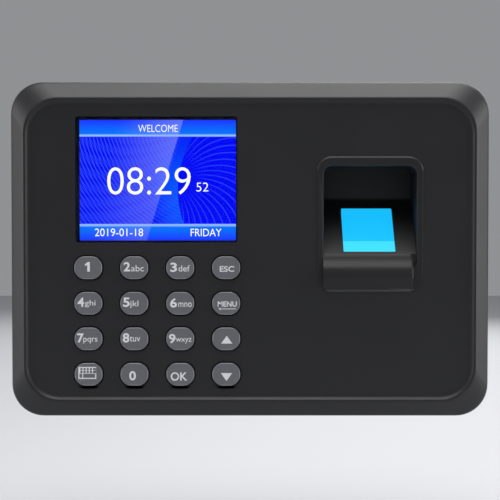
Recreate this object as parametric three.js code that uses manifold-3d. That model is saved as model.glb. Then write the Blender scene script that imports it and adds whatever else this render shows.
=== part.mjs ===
// Fingerprint scanner terminal: a wall terminal with a colour display, sixteen push keys and a finger pocket.
// Every piece is drawn as seen from the front: x to the right, y up and z out from the wall, in millimetres.
// The group at the end turns that view into the part's frame, with the wall face in the plane Y = 0.

import * as THREE from 'three';
import { mergeVertices } from 'three/addons/utils/BufferGeometryUtils.js';
import Module from 'manifold-3d';

const wasm = await Module();
wasm.setup();

// Whole terminal
const gap = 0.3;
const coverWidth = 180;
const coverHeight = 126;
const cornerRadius = 12;
const panelFront = 31.6;
const panelThickness = 2.5;
const crestHeight = 1;
const bevelWidth = 5.4;
const bevelHeight = 6.1;
const bevelDepth = 5.8;
const skirtWall = 2.5;
const skirtBack = 12;
const draft = 0.4;

// Wall plate and its hooks
const plateWidth = 104;
const plateHeight = 80;
const plateThickness = 1.5;
const hookX = 22;
const hookHeights = [26, -30];
const hookWidth = 8;
const hookThickness = 1.5;
const hookLip = 5;
const liftTravel = 8;
const cableSlotWidth = 16;
const cableSlotHeight = 10;
const wallScrewRadius = 2.2;

// Rear cover
const rearBack = plateThickness + 0.4;
const rearWall = 2.2;
const rearLip = 2;
const rearInner = rearBack + rearWall;

// Display
const displayWidth = 60.5;
const displayHeight = 47.1;
const displayLeft = -coverWidth / 2 + 24.8;
const displayTop = coverHeight / 2 - 13.2;
const displayX = displayLeft + displayWidth / 2;
const displayY = displayTop - displayHeight / 2;
const displayFlange = 1.75;
const lcdMargin = 2;
const lcdThickness = 3.3;
const lcdSheet = 0.6;
const flexWidth = 20;
const flexThickness = 0.4;

// Keys
const keyWidth = 10.4;
const keyHeight = 8.5;
const keyRadius = 3.9;
const keyGap = 0.4;
const keyProud = 0.9;
const keyTravel = 1;
const keyFlange = 0.9;
const keyPitchX = 17.17;
const keyPitchY = 13.3;
const keyLeft = displayLeft + 4.8;
const keyTop = displayTop - displayHeight - 9.35;
const keyNames = [
  ['key_1', 'key_2', 'key_3', 'key_esc'],
  ['key_4', 'key_5', 'key_6', 'key_menu'],
  ['key_7', 'key_8', 'key_9', 'key_up'],
  ['key_keyboard', 'key_0', 'key_ok', 'key_down'],
];

// Finger pocket and its sensor
const bezelWidth = 40;
const bezelHeight = 50.8;
const bezelRadius = 5.6;
const bezelProud = 0.5;
const bezelX = coverWidth / 2 - 25.1 - bezelWidth / 2;
const bezelTop = coverHeight / 2 - 28;
const bezelBottom = bezelTop - bezelHeight;
const pocketWidth = 34.7;
const pocketTop = bezelTop - 3.75;
const pocketWall = 1.8;
const pocketRadius = 3;
const pocketBack = 9.7;
const seatTilt = 0.8;
const windowWidth = 19.3;
const windowLength = 23.2;
const windowY = bezelTop - 27.5;
const rollRadius = 5;
const rollProud = 2.6;
const chinSlope = 0.4;
const chinFoot = bezelBottom + 0.6;
const sensorMargin = 1.4;
const sensorFlange = 1.2;
const sensorDepth = 5.7;
const sensorSheet = 1.2;
const sensorEar = 5;

// The seat lies as deep as the rear cover lets the sensor's board go.
const sensorStack = pocketWall + sensorFlange + sensorDepth + sensorSheet + 3 * gap;
const sensorReach = windowLength / 2 + sensorMargin;
const windowZ = rearInner + 0.4 + sensorReach * Math.sin(seatTilt) + sensorStack * Math.cos(seatTilt);

// Main board and what it carries
const boardThickness = 1.6;
const boardFront = 22.1;
const boardBack = boardFront - boardThickness;
const boardLeft = -coverWidth / 2 + 14;
const boardRight = bezelX - bezelWidth / 2 - 7.1;
const boardTop = coverHeight / 2 - 8;
const boardBottom = -coverHeight / 2 + 8;
const partsBack = boardBack - gap;
const bottomInner = -coverHeight / 2 + skirtWall + draft;
const usbX = -coverWidth / 2 + 92;
const usbWidth = 13.1;
const usbDepth = 5.7;
const usbLength = 14;
const jackX = usbX - 32;
const jackWidth = 9;
const jackDepth = 8;
const jackLength = 13;
const cellRadius = 10;
const cellThickness = 3.2;
const connectorWidth = 6;
const connectorLength = 10;
const connectorDepth = 4;
const sensorPlugY = bezelBottom + 3.6;
const speakerPlugY = boardBottom + 15;

// Speaker
const speakerRadius = 14;
const speakerX = bezelX;
const speakerY = bezelBottom - 21.4;
const speakerBack = rearInner + 0.4;

// Screws
const screwInset = 10;
const bossRadius = 3.2;
const bossMeet = 9;
const coverScrewRadius = 1.25;
const coverScrewLength = 12;
const coverBoreFront = 19;
const boardScrewRadius = 0.9;
const boardScrewFront = 27;
const boardBoreFront = 27.6;
const boardBossRadius = 2.6;

const finishes = {
  blackPlastic: { color: 0x262628, roughness: 0.45, metalness: 0 },
  darkPlastic: { color: 0x18181a, roughness: 0.5, metalness: 0 },
  keyPlastic: { color: 0x606166, roughness: 0.55, metalness: 0 },
  clear: { color: 0x0a1a30, roughness: 0.1, metalness: 0 },
  lcd: { color: 0x1024e0, roughness: 0.2, metalness: 0 },
  sensorGlass: { color: 0x18c1ff, roughness: 0.1, metalness: 0 },
  steel: { color: 0x9a9c9e, roughness: 0.35, metalness: 1 },
  brightMetal: { color: 0xc8c9cc, roughness: 0.3, metalness: 1 },
  silicone: { color: 0x8f9296, roughness: 0.8, metalness: 0 },
  foam: { color: 0x101010, roughness: 0.95, metalness: 0 },
  laminate: { color: 0x14603a, roughness: 0.5, metalness: 0 },
  flex: { color: 0x9a5a18, roughness: 0.5, metalness: 0 },
  chip: { color: 0x151517, roughness: 0.6, metalness: 0 },
  cream: { color: 0xe0dcc8, roughness: 0.6, metalness: 0 },
  paper: { color: 0x1c1c1e, roughness: 0.9, metalness: 0 },
  magnet: { color: 0x55575a, roughness: 0.5, metalness: 0.6 },
};

const terminal = new THREE.Group();
terminal.rotation.x = Math.PI / 2;

function place(parent, name, geometry, finish, x = 0, y = 0, z = 0) {
  const mesh = new THREE.Mesh(geometry, new THREE.MeshStandardMaterial(finishes[finish]));
  mesh.name = name;
  mesh.position.set(x, y, z);
  parent.add(mesh);
  return mesh;
}

// A closed mesh with shared vertices and no flat triangles, ready to be a solid.
function welded(geometry) {
  const bare = geometry.clone();
  bare.deleteAttribute('normal');
  bare.deleteAttribute('uv');
  const merged = mergeVertices(bare, 1e-4);
  const kept = [];
  for (let i = 0; i < merged.index.count; i += 3) {
    const [a, b, c] = [0, 1, 2].map((k) => merged.index.getX(i + k));
    if (a !== b && b !== c && c !== a) kept.push(a, b, c);
  }
  merged.setIndex(kept);
  return merged;
}

function solidOf(geometry) {
  const mesh = welded(geometry);
  return new wasm.Manifold(new wasm.Mesh({
    numProp: 3,
    vertProperties: new Float32Array(mesh.attributes.position.array),
    triVerts: new Uint32Array(mesh.index.array),
  }));
}

function geometryOf(solid) {
  const { vertProperties, triVerts } = solid.getMesh();
  const geometry = new THREE.BufferGeometry();
  geometry.setAttribute('position', new THREE.BufferAttribute(vertProperties, 3));
  geometry.setIndex(new THREE.BufferAttribute(triVerts, 1));
  geometry.computeVertexNormals();
  return geometry;
}

function join(first, ...others) {
  return geometryOf(others.reduce((whole, other) => whole.add(solidOf(other)), solidOf(first)));
}

function cut(first, ...tools) {
  return geometryOf(tools.reduce((whole, tool) => whole.subtract(solidOf(tool)), solidOf(first)));
}

function box(x0, x1, y0, y1, z0, z1) {
  const geometry = new THREE.BoxGeometry(x1 - x0, y1 - y0, z1 - z0);
  return geometry.translate((x0 + x1) / 2, (y0 + y1) / 2, (z0 + z1) / 2);
}

function roundedShape(width, height, radius, x = 0, y = 0) {
  const [dx, dy] = [width / 2 - radius, height / 2 - radius];
  const shape = new THREE.Shape();
  shape.absarc(x + dx, y + dy, radius, 0, Math.PI / 2);
  shape.absarc(x - dx, y + dy, radius, Math.PI / 2, Math.PI);
  shape.absarc(x - dx, y - dy, radius, Math.PI, Math.PI * 1.5);
  shape.absarc(x + dx, y - dy, radius, Math.PI * 1.5, Math.PI * 2);
  return shape;
}

function slab(shape, z0, z1, curveSegments = 2) {
  const geometry = new THREE.ExtrudeGeometry(shape, { depth: z1 - z0, bevelEnabled: false, curveSegments });
  return geometry.translate(0, 0, z0);
}

// A side profile, given as points of [z, y], drawn out from x0 to x1.
function across(points, x0, x1) {
  const shape = new THREE.Shape(points.map(([z, y]) => new THREE.Vector2(-z, y)));
  const geometry = new THREE.ExtrudeGeometry(shape, { depth: x1 - x0, bevelEnabled: false });
  return geometry.rotateY(Math.PI / 2).translate(x0, 0, 0);
}

// A body turned about the z direction, from a profile of [radius, z] points.
function turned(points, segments = 16) {
  const profile = points.map(([radius, z]) => new THREE.Vector2(radius, z));
  return welded(new THREE.LatheGeometry(profile, segments).rotateX(Math.PI / 2));
}

function disc(radius, z0, z1, x = 0, y = 0, segments = 16) {
  return turned([[0, z0], [radius, z0], [radius, z1], [0, z1]], segments).translate(x, y, 0);
}

// Rounded rectangles of [width, height, radius, z] joined into one closed body.
function loft(sections, steps) {
  const positions = [];
  for (const [width, height, radius, z] of sections) {
    for (let corner = 0; corner < 4; corner += 1) {
      const sx = corner === 0 || corner === 3 ? 1 : -1;
      const sy = corner < 2 ? 1 : -1;
      for (let i = 0; i <= steps; i += 1) {
        const angle = (corner + i / steps) * Math.PI / 2;
        positions.push(sx * (width / 2 - radius) + radius * Math.cos(angle));
        positions.push(sy * (height / 2 - radius) + radius * Math.sin(angle), z);
      }
    }
  }
  const count = 4 * (steps + 1);
  const index = [];
  for (let ring = 0; ring < sections.length - 1; ring += 1) {
    for (let i = 0; i < count; i += 1) {
      const [a, b] = [ring * count + i, ring * count + (i + 1) % count];
      index.push(a, b, b + count, a, b + count, a + count);
    }
  }
  const top = (sections.length - 1) * count;
  for (let i = 1; i < count - 1; i += 1) {
    index.push(0, i + 1, i, top, top + i, top + i + 1);
  }
  const geometry = new THREE.BufferGeometry();
  geometry.setAttribute('position', new THREE.BufferAttribute(new Float32Array(positions), 3));
  geometry.setIndex(index);
  geometry.computeVertexNormals();
  return geometry;
}

const coverScrewSpots = [[-1, 1], [1, 1], [-1, -1], [1, -1]].map(([sx, sy]) => [
  sx * (coverWidth / 2 - screwInset),
  sy * (coverHeight / 2 - screwInset),
]);

const boardScrewSpots = [
  [boardLeft + 3.5, boardTop - 3],
  [boardRight - 3.5, boardTop - 3],
  [boardLeft + 3.5, boardBottom + 3],
  [boardRight - 3.5, boardBottom + 3],
];

const keySpots = keyNames.flatMap((row, j) => row.map((name, i) => ({
  name,
  x: keyLeft + i * keyPitchX,
  y: keyTop - j * keyPitchY,
})));

// Pressed steel plate that is screwed to the wall, with four hooks that the terminal hangs on.
function wallPlate() {
  let plate = slab(roundedShape(plateWidth, plateHeight, 5), 0, plateThickness);
  const lipBack = rearInner + 0.4;
  const lipFront = lipBack + hookThickness;
  for (const y of hookHeights) {
    for (const x of [-hookX, hookX]) {
      const [x0, x1] = [x - hookWidth / 2, x + hookWidth / 2];
      const y0 = y - hookThickness / 2;
      const tab = box(x0, x1, y0, y0 + hookThickness, plateThickness / 2, lipFront);
      const lip = box(x0, x1, y0, y0 + hookThickness + hookLip, lipBack, lipFront);
      plate = join(plate, tab, lip);
    }
  }
  const slotFoot = -plateHeight / 2;
  const slot = box(-cableSlotWidth / 2, cableSlotWidth / 2, slotFoot - 1, slotFoot + cableSlotHeight,
    -1, plateThickness + 1);
  const holes = [-1, 1].flatMap((sx) => [-1, 1].map((sy) => (
    disc(wallScrewRadius, -1, plateThickness + 1, sx * (plateWidth / 2 - 10), sy * (plateHeight / 2 - 8))
  )));
  return cut(plate, slot, ...holes);
}

// Moulded tray that closes the back. Its wall fits inside the skirt of the front cover.
function rearCover() {
  const width = coverWidth - 2 * (draft + skirtWall + gap);
  const height = coverHeight - 2 * (draft + skirtWall + gap);
  const rim = skirtBack + rearLip;
  const outer = loft([
    [width - 4, height - 4, 7, rearBack],
    [width, height, 9, rearBack + 2],
    [width, height, 9, rim],
  ], 4);
  const inner = loft([
    [width - 2 * rearWall - 1, height - 2 * rearWall - 1, 6.4, rearInner],
    [width - 2 * rearWall, height - 2 * rearWall, 6.8, rim + 1],
  ], 4);
  const bosses = coverScrewSpots.map(([x, y]) => disc(bossRadius, rearInner - 1, bossMeet, x, y));
  const ring = turned([
    [speakerRadius + gap, rearInner - 1], [speakerRadius + 1.8, rearInner - 1],
    [speakerRadius + 1.8, speakerBack + 3.4], [speakerRadius + gap, speakerBack + 3.4],
    [speakerRadius + gap, rearInner - 1],
  ], 24).translate(speakerX, speakerY, 0);
  const shell = join(cut(outer, inner), ring, ...bosses);
  const bores = coverScrewSpots.flatMap(([x, y]) => [
    disc(2.9, rearBack - 1, rearInner + 0.1, x, y),
    disc(coverScrewRadius + gap, rearBack, bossMeet + 1, x, y),
  ]);
  const slots = hookHeights.flatMap((y) => [-hookX, hookX].map((x) => box(
    x - hookWidth / 2 - 0.4, x + hookWidth / 2 + 0.4,
    y - hookThickness / 2 - liftTravel - 0.5, y + hookThickness / 2 + gap,
    rearBack - 1, rearInner + 1,
  )));
  const entryFoot = -plateHeight / 2 - 2;
  const entry = box(-cableSlotWidth / 2, cableSlotWidth / 2, entryFoot, entryFoot + cableSlotHeight,
    rearBack - 1, rearInner + 1);
  const jackNotch = box(jackX - jackWidth / 2 - 0.5, jackX + jackWidth / 2 + 0.5,
    -coverHeight / 2, -coverHeight / 2 + 12, partsBack - jackDepth - 0.5, rim + 1);
  const grille = [-2, -1, 0, 1, 2].map((i) => {
    const half = 9 - Math.abs(i);
    const y = speakerY + i * 3.4;
    return box(speakerX - half, speakerX + half, y - 0.8, y + 0.8, rearBack - 1, rearInner + 1);
  });
  return cut(shell, ...bores, ...slots, entry, jackNotch, ...grille);
}

// Moulded front shell: skirt, sloping bevel, crest and the slightly sunk panel with its openings.
function frontCover() {
  const panelBack = panelFront - panelThickness;
  const crest = panelFront + crestHeight;
  const [crestWidth, crestTall] = [coverWidth - 2 * bevelWidth, coverHeight - 2 * bevelHeight];
  const outer = loft([
    [coverWidth - 2 * draft, coverHeight - 2 * draft, cornerRadius - draft, skirtBack],
    [coverWidth, coverHeight, cornerRadius, crest - bevelDepth],
    [crestWidth, crestTall, cornerRadius + 1, crest],
    [crestWidth - 1.2, crestTall - 1.2, cornerRadius + 0.6, crest],
    [crestWidth - 1.8, crestTall - 1.8, cornerRadius + 0.3, panelFront],
  ], 5);
  const innerDraft = draft + skirtWall;
  const inner = loft([
    [coverWidth - 2 * innerDraft, coverHeight - 2 * innerDraft, cornerRadius - skirtWall, skirtBack - 1],
    [coverWidth - 2 * skirtWall, coverHeight - 2 * skirtWall, cornerRadius - skirtWall,
      crest - bevelDepth - 1.3],
    [crestWidth - 3, crestTall - 3.2, cornerRadius - 1, panelBack],
  ], 4);
  const bosses = [
    ...coverScrewSpots.map(([x, y]) => disc(bossRadius, bossMeet + gap, panelBack + 0.5, x, y)),
    ...boardScrewSpots.map(([x, y]) => disc(boardBossRadius, boardFront + gap, panelBack + 0.5, x, y, 12)),
  ];
  const shell = join(cut(outer, inner), ...bosses);
  const bores = [
    ...coverScrewSpots.map(([x, y]) => disc(coverScrewRadius + gap, bossMeet, coverBoreFront, x, y)),
    ...boardScrewSpots.map(([x, y]) => (
      disc(boardScrewRadius + gap, boardFront, boardBoreFront, x, y, 12)
    )),
  ];
  const [cutBack, cutFront] = [panelBack - 1, panelFront + 1];
  const displayHole = slab(roundedShape(displayWidth, displayHeight, 1.2, displayX, displayY),
    cutBack, cutFront, 1);
  const keyHoles = keySpots.map(({ x, y }) => slab(
    roundedShape(keyWidth + 2 * keyGap, keyHeight + 2 * keyGap, keyRadius + keyGap, x, y),
    cutBack, cutFront,
  ));
  const bezelHole = slab(roundedShape(bezelWidth + 2 * gap, bezelHeight + 2 * gap, bezelRadius + gap,
    bezelX, bezelTop - bezelHeight / 2), cutBack, cutFront);
  const skirtFoot = -coverHeight / 2;
  const usbHole = box(usbX - usbWidth / 2 - 0.4, usbX + usbWidth / 2 + 0.4, skirtFoot - 1, bottomInner + 1,
    partsBack - usbDepth - 0.4, partsBack + 0.4);
  const jackHole = disc(jackDepth / 2 - 1, -1, skirtWall + 2).rotateX(-Math.PI / 2)
    .translate(jackX, skirtFoot, partsBack - jackDepth / 2);
  return cut(shell, ...bores, displayHole, ...keyHoles, bezelHole, usbHole, jackHole);
}

// The tilted seat: its own directions are x, up the seat, and straight out of the window's face.
function tilted(geometry) {
  return geometry.rotateX(-seatTilt).translate(bezelX, windowY, windowZ);
}

// Height of the seat's plane, moved in by the given depth, at a distance z from the wall.
function seatHeight(z, depth = 0) {
  const y = windowY - depth * Math.sin(seatTilt);
  return y - (z - windowZ + depth * Math.cos(seatTilt)) / Math.tan(seatTilt);
}

function seatReach(y, depth = 0) {
  const z = windowZ - depth * Math.cos(seatTilt);
  return z - (y - windowY + depth * Math.sin(seatTilt)) * Math.tan(seatTilt);
}

// Separate moulded insert: a low frame, the deep pocket, the tilted seat and the rounded lip and chin.
function fingerBezel() {
  const frontFace = panelFront + bezelProud;
  const frameBack = panelFront - panelThickness - 0.3;
  const frame = slab(roundedShape(bezelWidth, bezelHeight, bezelRadius, bezelX, bezelTop - bezelHeight / 2),
    frameBack, frontFace);
  const outerBack = pocketBack - pocketWall;
  const shellFront = frameBack + 0.2;
  const outside = [
    [shellFront, pocketTop + pocketWall], [outerBack, pocketTop + pocketWall],
    [outerBack, seatHeight(outerBack, pocketWall)], [shellFront, seatHeight(shellFront, pocketWall)],
  ];
  const half = pocketWidth / 2;
  const shell = across(outside, bezelX - half - pocketWall, bezelX + half + pocketWall);
  const rollZ = panelFront + rollProud - rollRadius;
  const rollY = windowY - (rollRadius + (rollZ - windowZ) * Math.cos(seatTilt)) / Math.sin(seatTilt);
  const arc = [0, 1, 2, 3, 4, 5, 6].map((i) => {
    const angle = i / 6 * (seatTilt + chinSlope) - chinSlope;
    return [rollZ + rollRadius * Math.cos(angle), rollY + rollRadius * Math.sin(angle)];
  });
  const chin = across([
    [frameBack, chinFoot], [panelFront - 0.2, chinFoot], ...arc,
    [seatReach(arc[6][1], pocketWall / 2), arc[6][1]],
  ], bezelX - half + 0.2, bezelX + half - 1.2);
  const deep = across([
    [frontFace + 9, pocketTop], [pocketBack, pocketTop], [pocketBack, seatHeight(pocketBack)],
    arc[6], arc[5], arc[4], [frontFace + 9, arc[4][1]],
  ], bezelX - half, bezelX + half);
  const mouthHeight = pocketTop - rollY;
  const mouthY = pocketTop - mouthHeight / 2;
  const mouth = slab(roundedShape(pocketWidth, mouthHeight, pocketRadius, bezelX, mouthY),
    0, frontFace + 10);
  const cavity = geometryOf(solidOf(deep).intersect(solidOf(mouth)));
  const windowHole = tilted(box(-windowWidth / 2 - gap, windowWidth / 2 + gap,
    -windowLength / 2 - gap, windowLength / 2 + gap, -pocketWall - 2, 1));
  const reliefX = windowWidth / 2 + sensorMargin + gap;
  const relief = tilted(box(-reliefX, reliefX, -sensorReach - gap, sensorReach + gap,
    -sensorStack, -pocketWall - gap / 2));
  const earX = windowWidth / 2 + sensorEar - 1;
  const earBosses = [-earX, earX].map((x) => tilted(disc(1.9, -pocketWall - 1.5, -0.8, x, 0, 12)));
  const earBores = [-earX, earX].map((x) => tilted(disc(1.2, -pocketWall - 2, -1, x, 0, 12)));
  return cut(join(cut(join(frame, shell, chin), cavity), ...earBosses), windowHole, relief, ...earBores);
}

// Clear window: a plate that fills the opening, with a flange behind the panel.
function displayWindow() {
  const flangeFront = panelFront - panelThickness - gap;
  const flange = slab(roundedShape(displayWidth + 2 * displayFlange, displayHeight + 2 * displayFlange, 1.5),
    flangeFront - 0.8, flangeFront, 1);
  const plate = slab(roundedShape(displayWidth - 2 * gap, displayHeight - 2 * gap, 1),
    flangeFront - 0.4, panelFront - 0.4, 1);
  return join(flange, plate);
}

function frameRing(width, height, wall, z0, z1) {
  const outer = slab(roundedShape(width, height, 1.2), z0, z1, 1);
  return cut(outer, slab(roundedShape(width - 2 * wall, height - 2 * wall, 0.8), z0 - 1, z1 + 1, 1));
}

function addDisplay() {
  const windowBack = panelFront - panelThickness - gap - 0.8;
  const gasketFront = windowBack - gap;
  const gasketBack = gasketFront - 0.8;
  const glassFront = gasketBack - gap;
  const glassBack = glassFront - lcdThickness;
  const glassWidth = displayWidth + 2 * lcdMargin;
  const glassHeight = displayHeight + 2 * lcdMargin - 0.8;
  const trayBack = glassBack - gap - lcdSheet;
  const trayWidth = glassWidth + 2 * (gap + lcdSheet);
  const trayHeight = glassHeight + 2 * (gap + lcdSheet);
  const glass = slab(roundedShape(glassWidth, glassHeight, 0.8), glassBack, glassFront, 1);
  const tray = slab(roundedShape(trayWidth, trayHeight, 1), trayBack, glassFront, 1);
  const hollow = slab(roundedShape(glassWidth + 2 * gap, glassHeight + 2 * gap, 0.7),
    glassBack - gap, glassFront + 1, 1);
  const flexNotch = box(-flexWidth / 2 - gap, flexWidth / 2 + gap, glassHeight / 2, trayHeight / 2 + 1,
    glassBack + gap, glassFront + 1);
  place(terminal, 'display_window', displayWindow(), 'clear', displayX, displayY);
  const gasket = frameRing(displayWidth + 2 * displayFlange, displayHeight + 2 * displayFlange,
    displayFlange - 0.2, gasketBack, gasketFront);
  place(terminal, 'display_gasket', gasket, 'foam', displayX, displayY);
  place(terminal, 'lcd_glass', glass, 'lcd', displayX, displayY);
  place(terminal, 'lcd_frame', cut(tray, hollow, flexNotch), 'steel', displayX, displayY);
  const startZ = glassBack + 1.5;
  const endZ = boardBack - gap - flexThickness / 2;
  place(terminal, 'lcd_flex', flexStrip(startZ, endZ, displayY + glassHeight / 2 + gap), 'flex', displayX);
}

// Flat flexible strip from the display's upper edge, round the board's upper edge, to the board's back.
function flexStrip(startZ, endZ, startY) {
  const radius = (startZ - endZ) / 2;
  const centreY = boardTop + 0.5;
  const side = (offset) => {
    const turn = [0, 1, 2, 3, 4, 5, 6, 7, 8].map((i) => {
      const angle = i / 8 * Math.PI;
      const reach = radius + offset;
      return [(startZ + endZ) / 2 + reach * Math.cos(angle), centreY + reach * Math.sin(angle)];
    });
    return [[startZ + offset, startY], ...turn, [endZ - offset, boardTop - 7]];
  };
  const half = flexThickness / 2;
  return across([...side(half), ...side(-half).reverse()], -flexWidth / 2, flexWidth / 2);
}

// One key: a rounded cap with a soft edge, standing through the panel, and a flange that keeps it in.
function keyCap() {
  const flangeFront = panelFront - panelThickness - gap;
  const top = panelFront + keyProud;
  const spread = 0.9;
  return loft([
    [keyWidth + 2 * spread, keyHeight + 2 * spread, keyRadius + spread, flangeFront - keyFlange],
    [keyWidth + 2 * spread, keyHeight + 2 * spread, keyRadius + spread, flangeFront],
    [keyWidth, keyHeight, keyRadius, flangeFront],
    [keyWidth, keyHeight, keyRadius, top - 0.5],
    [keyWidth - 1, keyHeight - 1, keyRadius - 0.5, top],
  ], 3);
}

// Silicone sheet with one dome under each key. A dome's top stays clear of a key that is pushed in.
function keypadMat() {
  const sheetBack = boardFront + gap;
  const domeTop = panelFront - panelThickness - gap - keyFlange - keyTravel - gap;
  const [first, last] = [keySpots[0], keySpots[keySpots.length - 1]];
  const sheet = box(first.x - 7, last.x + 7, last.y - 6, first.y + 5.6, sheetBack, sheetBack + 1);
  const domes = keySpots.map(({ x, y }) => turned([
    [0, sheetBack + 0.5], [3.6, sheetBack + 0.5], [3.6, sheetBack + 1.6], [2.6, domeTop], [0, domeTop],
  ], 10).translate(x, y, 0));
  return join(sheet, ...domes);
}

function mainBoard() {
  const board = box(boardLeft, boardRight, boardBottom, boardTop, boardBack, boardFront);
  const holes = boardScrewSpots.map(([x, y]) => (
    disc(boardScrewRadius + gap, boardBack - 1, boardFront + 1, x, y, 12)
  ));
  return cut(board, ...holes);
}

// Optical sensor under the tilted window. Its block, housing, lens and board lie in the seat's directions.
function addSensor() {
  const seat = new THREE.Group();
  seat.position.set(bezelX, windowY, windowZ);
  seat.rotation.x = -seatTilt;
  terminal.add(seat);
  const halfWidth = windowWidth / 2 + sensorMargin;
  const halfLength = sensorReach;
  const flangeFront = -pocketWall - gap;
  const bodyFront = flangeFront - sensorFlange - gap;
  const bodyBack = bodyFront - sensorDepth;
  const block = join(
    box(-windowWidth / 2, windowWidth / 2, -windowLength / 2, windowLength / 2,
      flangeFront - sensorFlange / 2, 0),
    box(-halfWidth, halfWidth, -halfLength, halfLength, flangeFront - sensorFlange, flangeFront),
  );
  const earX = windowWidth / 2 + sensorEar - 1;
  const ears = box(-earX - 2, earX + 2, -3, 3, bodyFront - 1.6, bodyFront);
  const housing = join(box(-halfWidth, halfWidth, -halfLength, halfLength, bodyBack, bodyFront), ears);
  const chamber = box(-halfWidth + 1.5, halfWidth - 1.5, -halfLength + 1.5, halfLength - 1.5,
    bodyBack - 1, bodyFront - 1.2);
  const lightWell = disc(6, bodyFront - 2, bodyFront + 1);
  const earHoles = [-earX, earX].map((x) => disc(1.2, bodyFront - 3, bodyFront + 1, x, 0, 12));
  place(seat, 'sensor_window', block, 'sensorGlass');
  place(seat, 'sensor_body', cut(housing, chamber, lightWell, ...earHoles), 'darkPlastic');
  place(seat, 'sensor_board', box(-halfWidth, halfWidth, -halfLength, halfLength,
    bodyBack - gap - sensorSheet, bodyBack - gap), 'laminate');
  place(seat, 'sensor_lens', turned([
    [0, bodyBack], [3.4, bodyBack], [3.4, bodyBack + 2.4], [2.2, bodyBack + 3.1], [0, bodyBack + 3.4],
  ]), 'chip');
  [-earX, earX].forEach((x, i) => {
    const under = bodyFront - 1.6 - gap;
    place(seat, `sensor_screw_${i + 1}`, turned([
      [0, under - 1.2], [1.9, under - 1.2], [1.9, under], [0.9, under], [0.9, -1.4], [0, -1.4],
    ], 12), 'steel', x);
  });
}

// Round lead along a smooth line through its points.
function lead(points, radius) {
  const path = new THREE.CatmullRomCurve3(points.map((point) => new THREE.Vector3(...point)));
  const section = new THREE.Shape().absarc(0, 0, radius, 0, Math.PI * 2);
  return new THREE.ExtrudeGeometry(section, { steps: 20, curveSegments: 4, extrudePath: path });
}

function addLeads() {
  const plugX = boardRight - connectorWidth / 2 + 0.5;
  const plug = box(-connectorWidth / 2, connectorWidth / 2, -connectorLength / 2, connectorLength / 2,
    partsBack - connectorDepth, partsBack);
  const endX = plugX + connectorWidth / 2 + gap;
  const endZ = partsBack - connectorDepth / 2;
  place(terminal, 'sensor_connector', plug, 'cream', plugX, sensorPlugY);
  place(terminal, 'speaker_connector', plug.clone(), 'cream', plugX, speakerPlugY);
  const depth = sensorStack + gap;
  const startY = windowY - 7 * Math.cos(seatTilt) - depth * Math.sin(seatTilt);
  const startZ = windowZ + 7 * Math.sin(seatTilt) - depth * Math.cos(seatTilt);
  place(terminal, 'sensor_cable', lead([
    [bezelX, startY, startZ],
    [bezelX - 1, startY - 3, startZ - 3],
    [bezelX - 8, startY - 6, startZ - 4.4],
    [(bezelX + endX) / 2, sensorPlugY - 1, startZ - 2],
    [endX + 4, sensorPlugY, endZ - 1],
    [endX, sensorPlugY, endZ],
  ], 0.9), 'cream');
  place(terminal, 'speaker_lead', lead([
    [speakerX - 8, speakerY, speakerBack + 6.8],
    [speakerX - 12, speakerY, speakerBack + 8.4],
    [speakerX - 19, speakerY - 1, speakerBack + 9.6],
    [endX + 4, speakerPlugY, endZ - 1],
    [endX, speakerPlugY, endZ],
  ], 0.8), 'paper');
}

// Small round speaker that faces the grille in the rear cover.
function addSpeaker() {
  const z = speakerBack;
  const rim = speakerRadius;
  place(terminal, 'speaker_frame', turned([
    [rim - 2.4, z], [rim, z], [rim, z + 1.4], [rim - 1.4, z + 1.4], [rim - 5, z + 5.5], [4.2, z + 5.5],
    [4.2, z + 4.5], [rim - 5.6, z + 4.5], [rim - 2.4, z + 1.2], [rim - 2.4, z],
  ], 24), 'steel', speakerX, speakerY);
  place(terminal, 'speaker_cone', turned([
    [0, z + 1.4], [2.2, z + 1.9], [3.5, z + 3], [rim - 3.4, z + 0.4], [rim - 2.8, z + 0.4],
    [rim - 2.8, z + 1], [rim - 3.4, z + 1], [3.8, z + 3.7], [0, z + 3.7],
  ], 20), 'paper', speakerX, speakerY);
  const magnet = disc(6.5, z + 5.5 + gap, z + 9.4, 0, 0, 20);
  place(terminal, 'speaker_magnet', magnet, 'magnet', speakerX, speakerY);
}

// Sockets at the lower edge, facing down.
function addSockets() {
  const foot = bottomInner + gap;
  const shellBack = partsBack - usbDepth;
  const shell = box(-usbWidth / 2, usbWidth / 2, foot, foot + usbLength, shellBack, partsBack);
  const wall = 0.35;
  const inside = box(-usbWidth / 2 + wall, usbWidth / 2 - wall, foot - 1, foot + usbLength - 1.5,
    shellBack + wall, partsBack - wall);
  place(terminal, 'usb_shell', cut(shell, inside), 'brightMetal', usbX);
  place(terminal, 'usb_tongue', box(-5.4, 5.4, foot + 1, foot + usbLength - 1.5 - gap,
    partsBack - wall - 2.3, partsBack - wall - 0.5), 'cream', usbX);
  const centreZ = partsBack - jackDepth / 2;
  const along = (geometry) => geometry.rotateX(-Math.PI / 2).translate(0, foot, centreZ);
  const barrel = cut(
    box(-jackWidth / 2, jackWidth / 2, foot, foot + jackLength, partsBack - jackDepth, partsBack),
    along(disc(jackDepth / 2 - 1.2, -1, 9)),
  );
  place(terminal, 'dc_jack', barrel, 'chip', jackX);
  place(terminal, 'dc_pin', along(turned([
    [0, 1.2], [0.6, 1.2], [1, 1.6], [1, 9 - gap], [0, 9 - gap],
  ], 12)), 'brightMetal', jackX);
}

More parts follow.
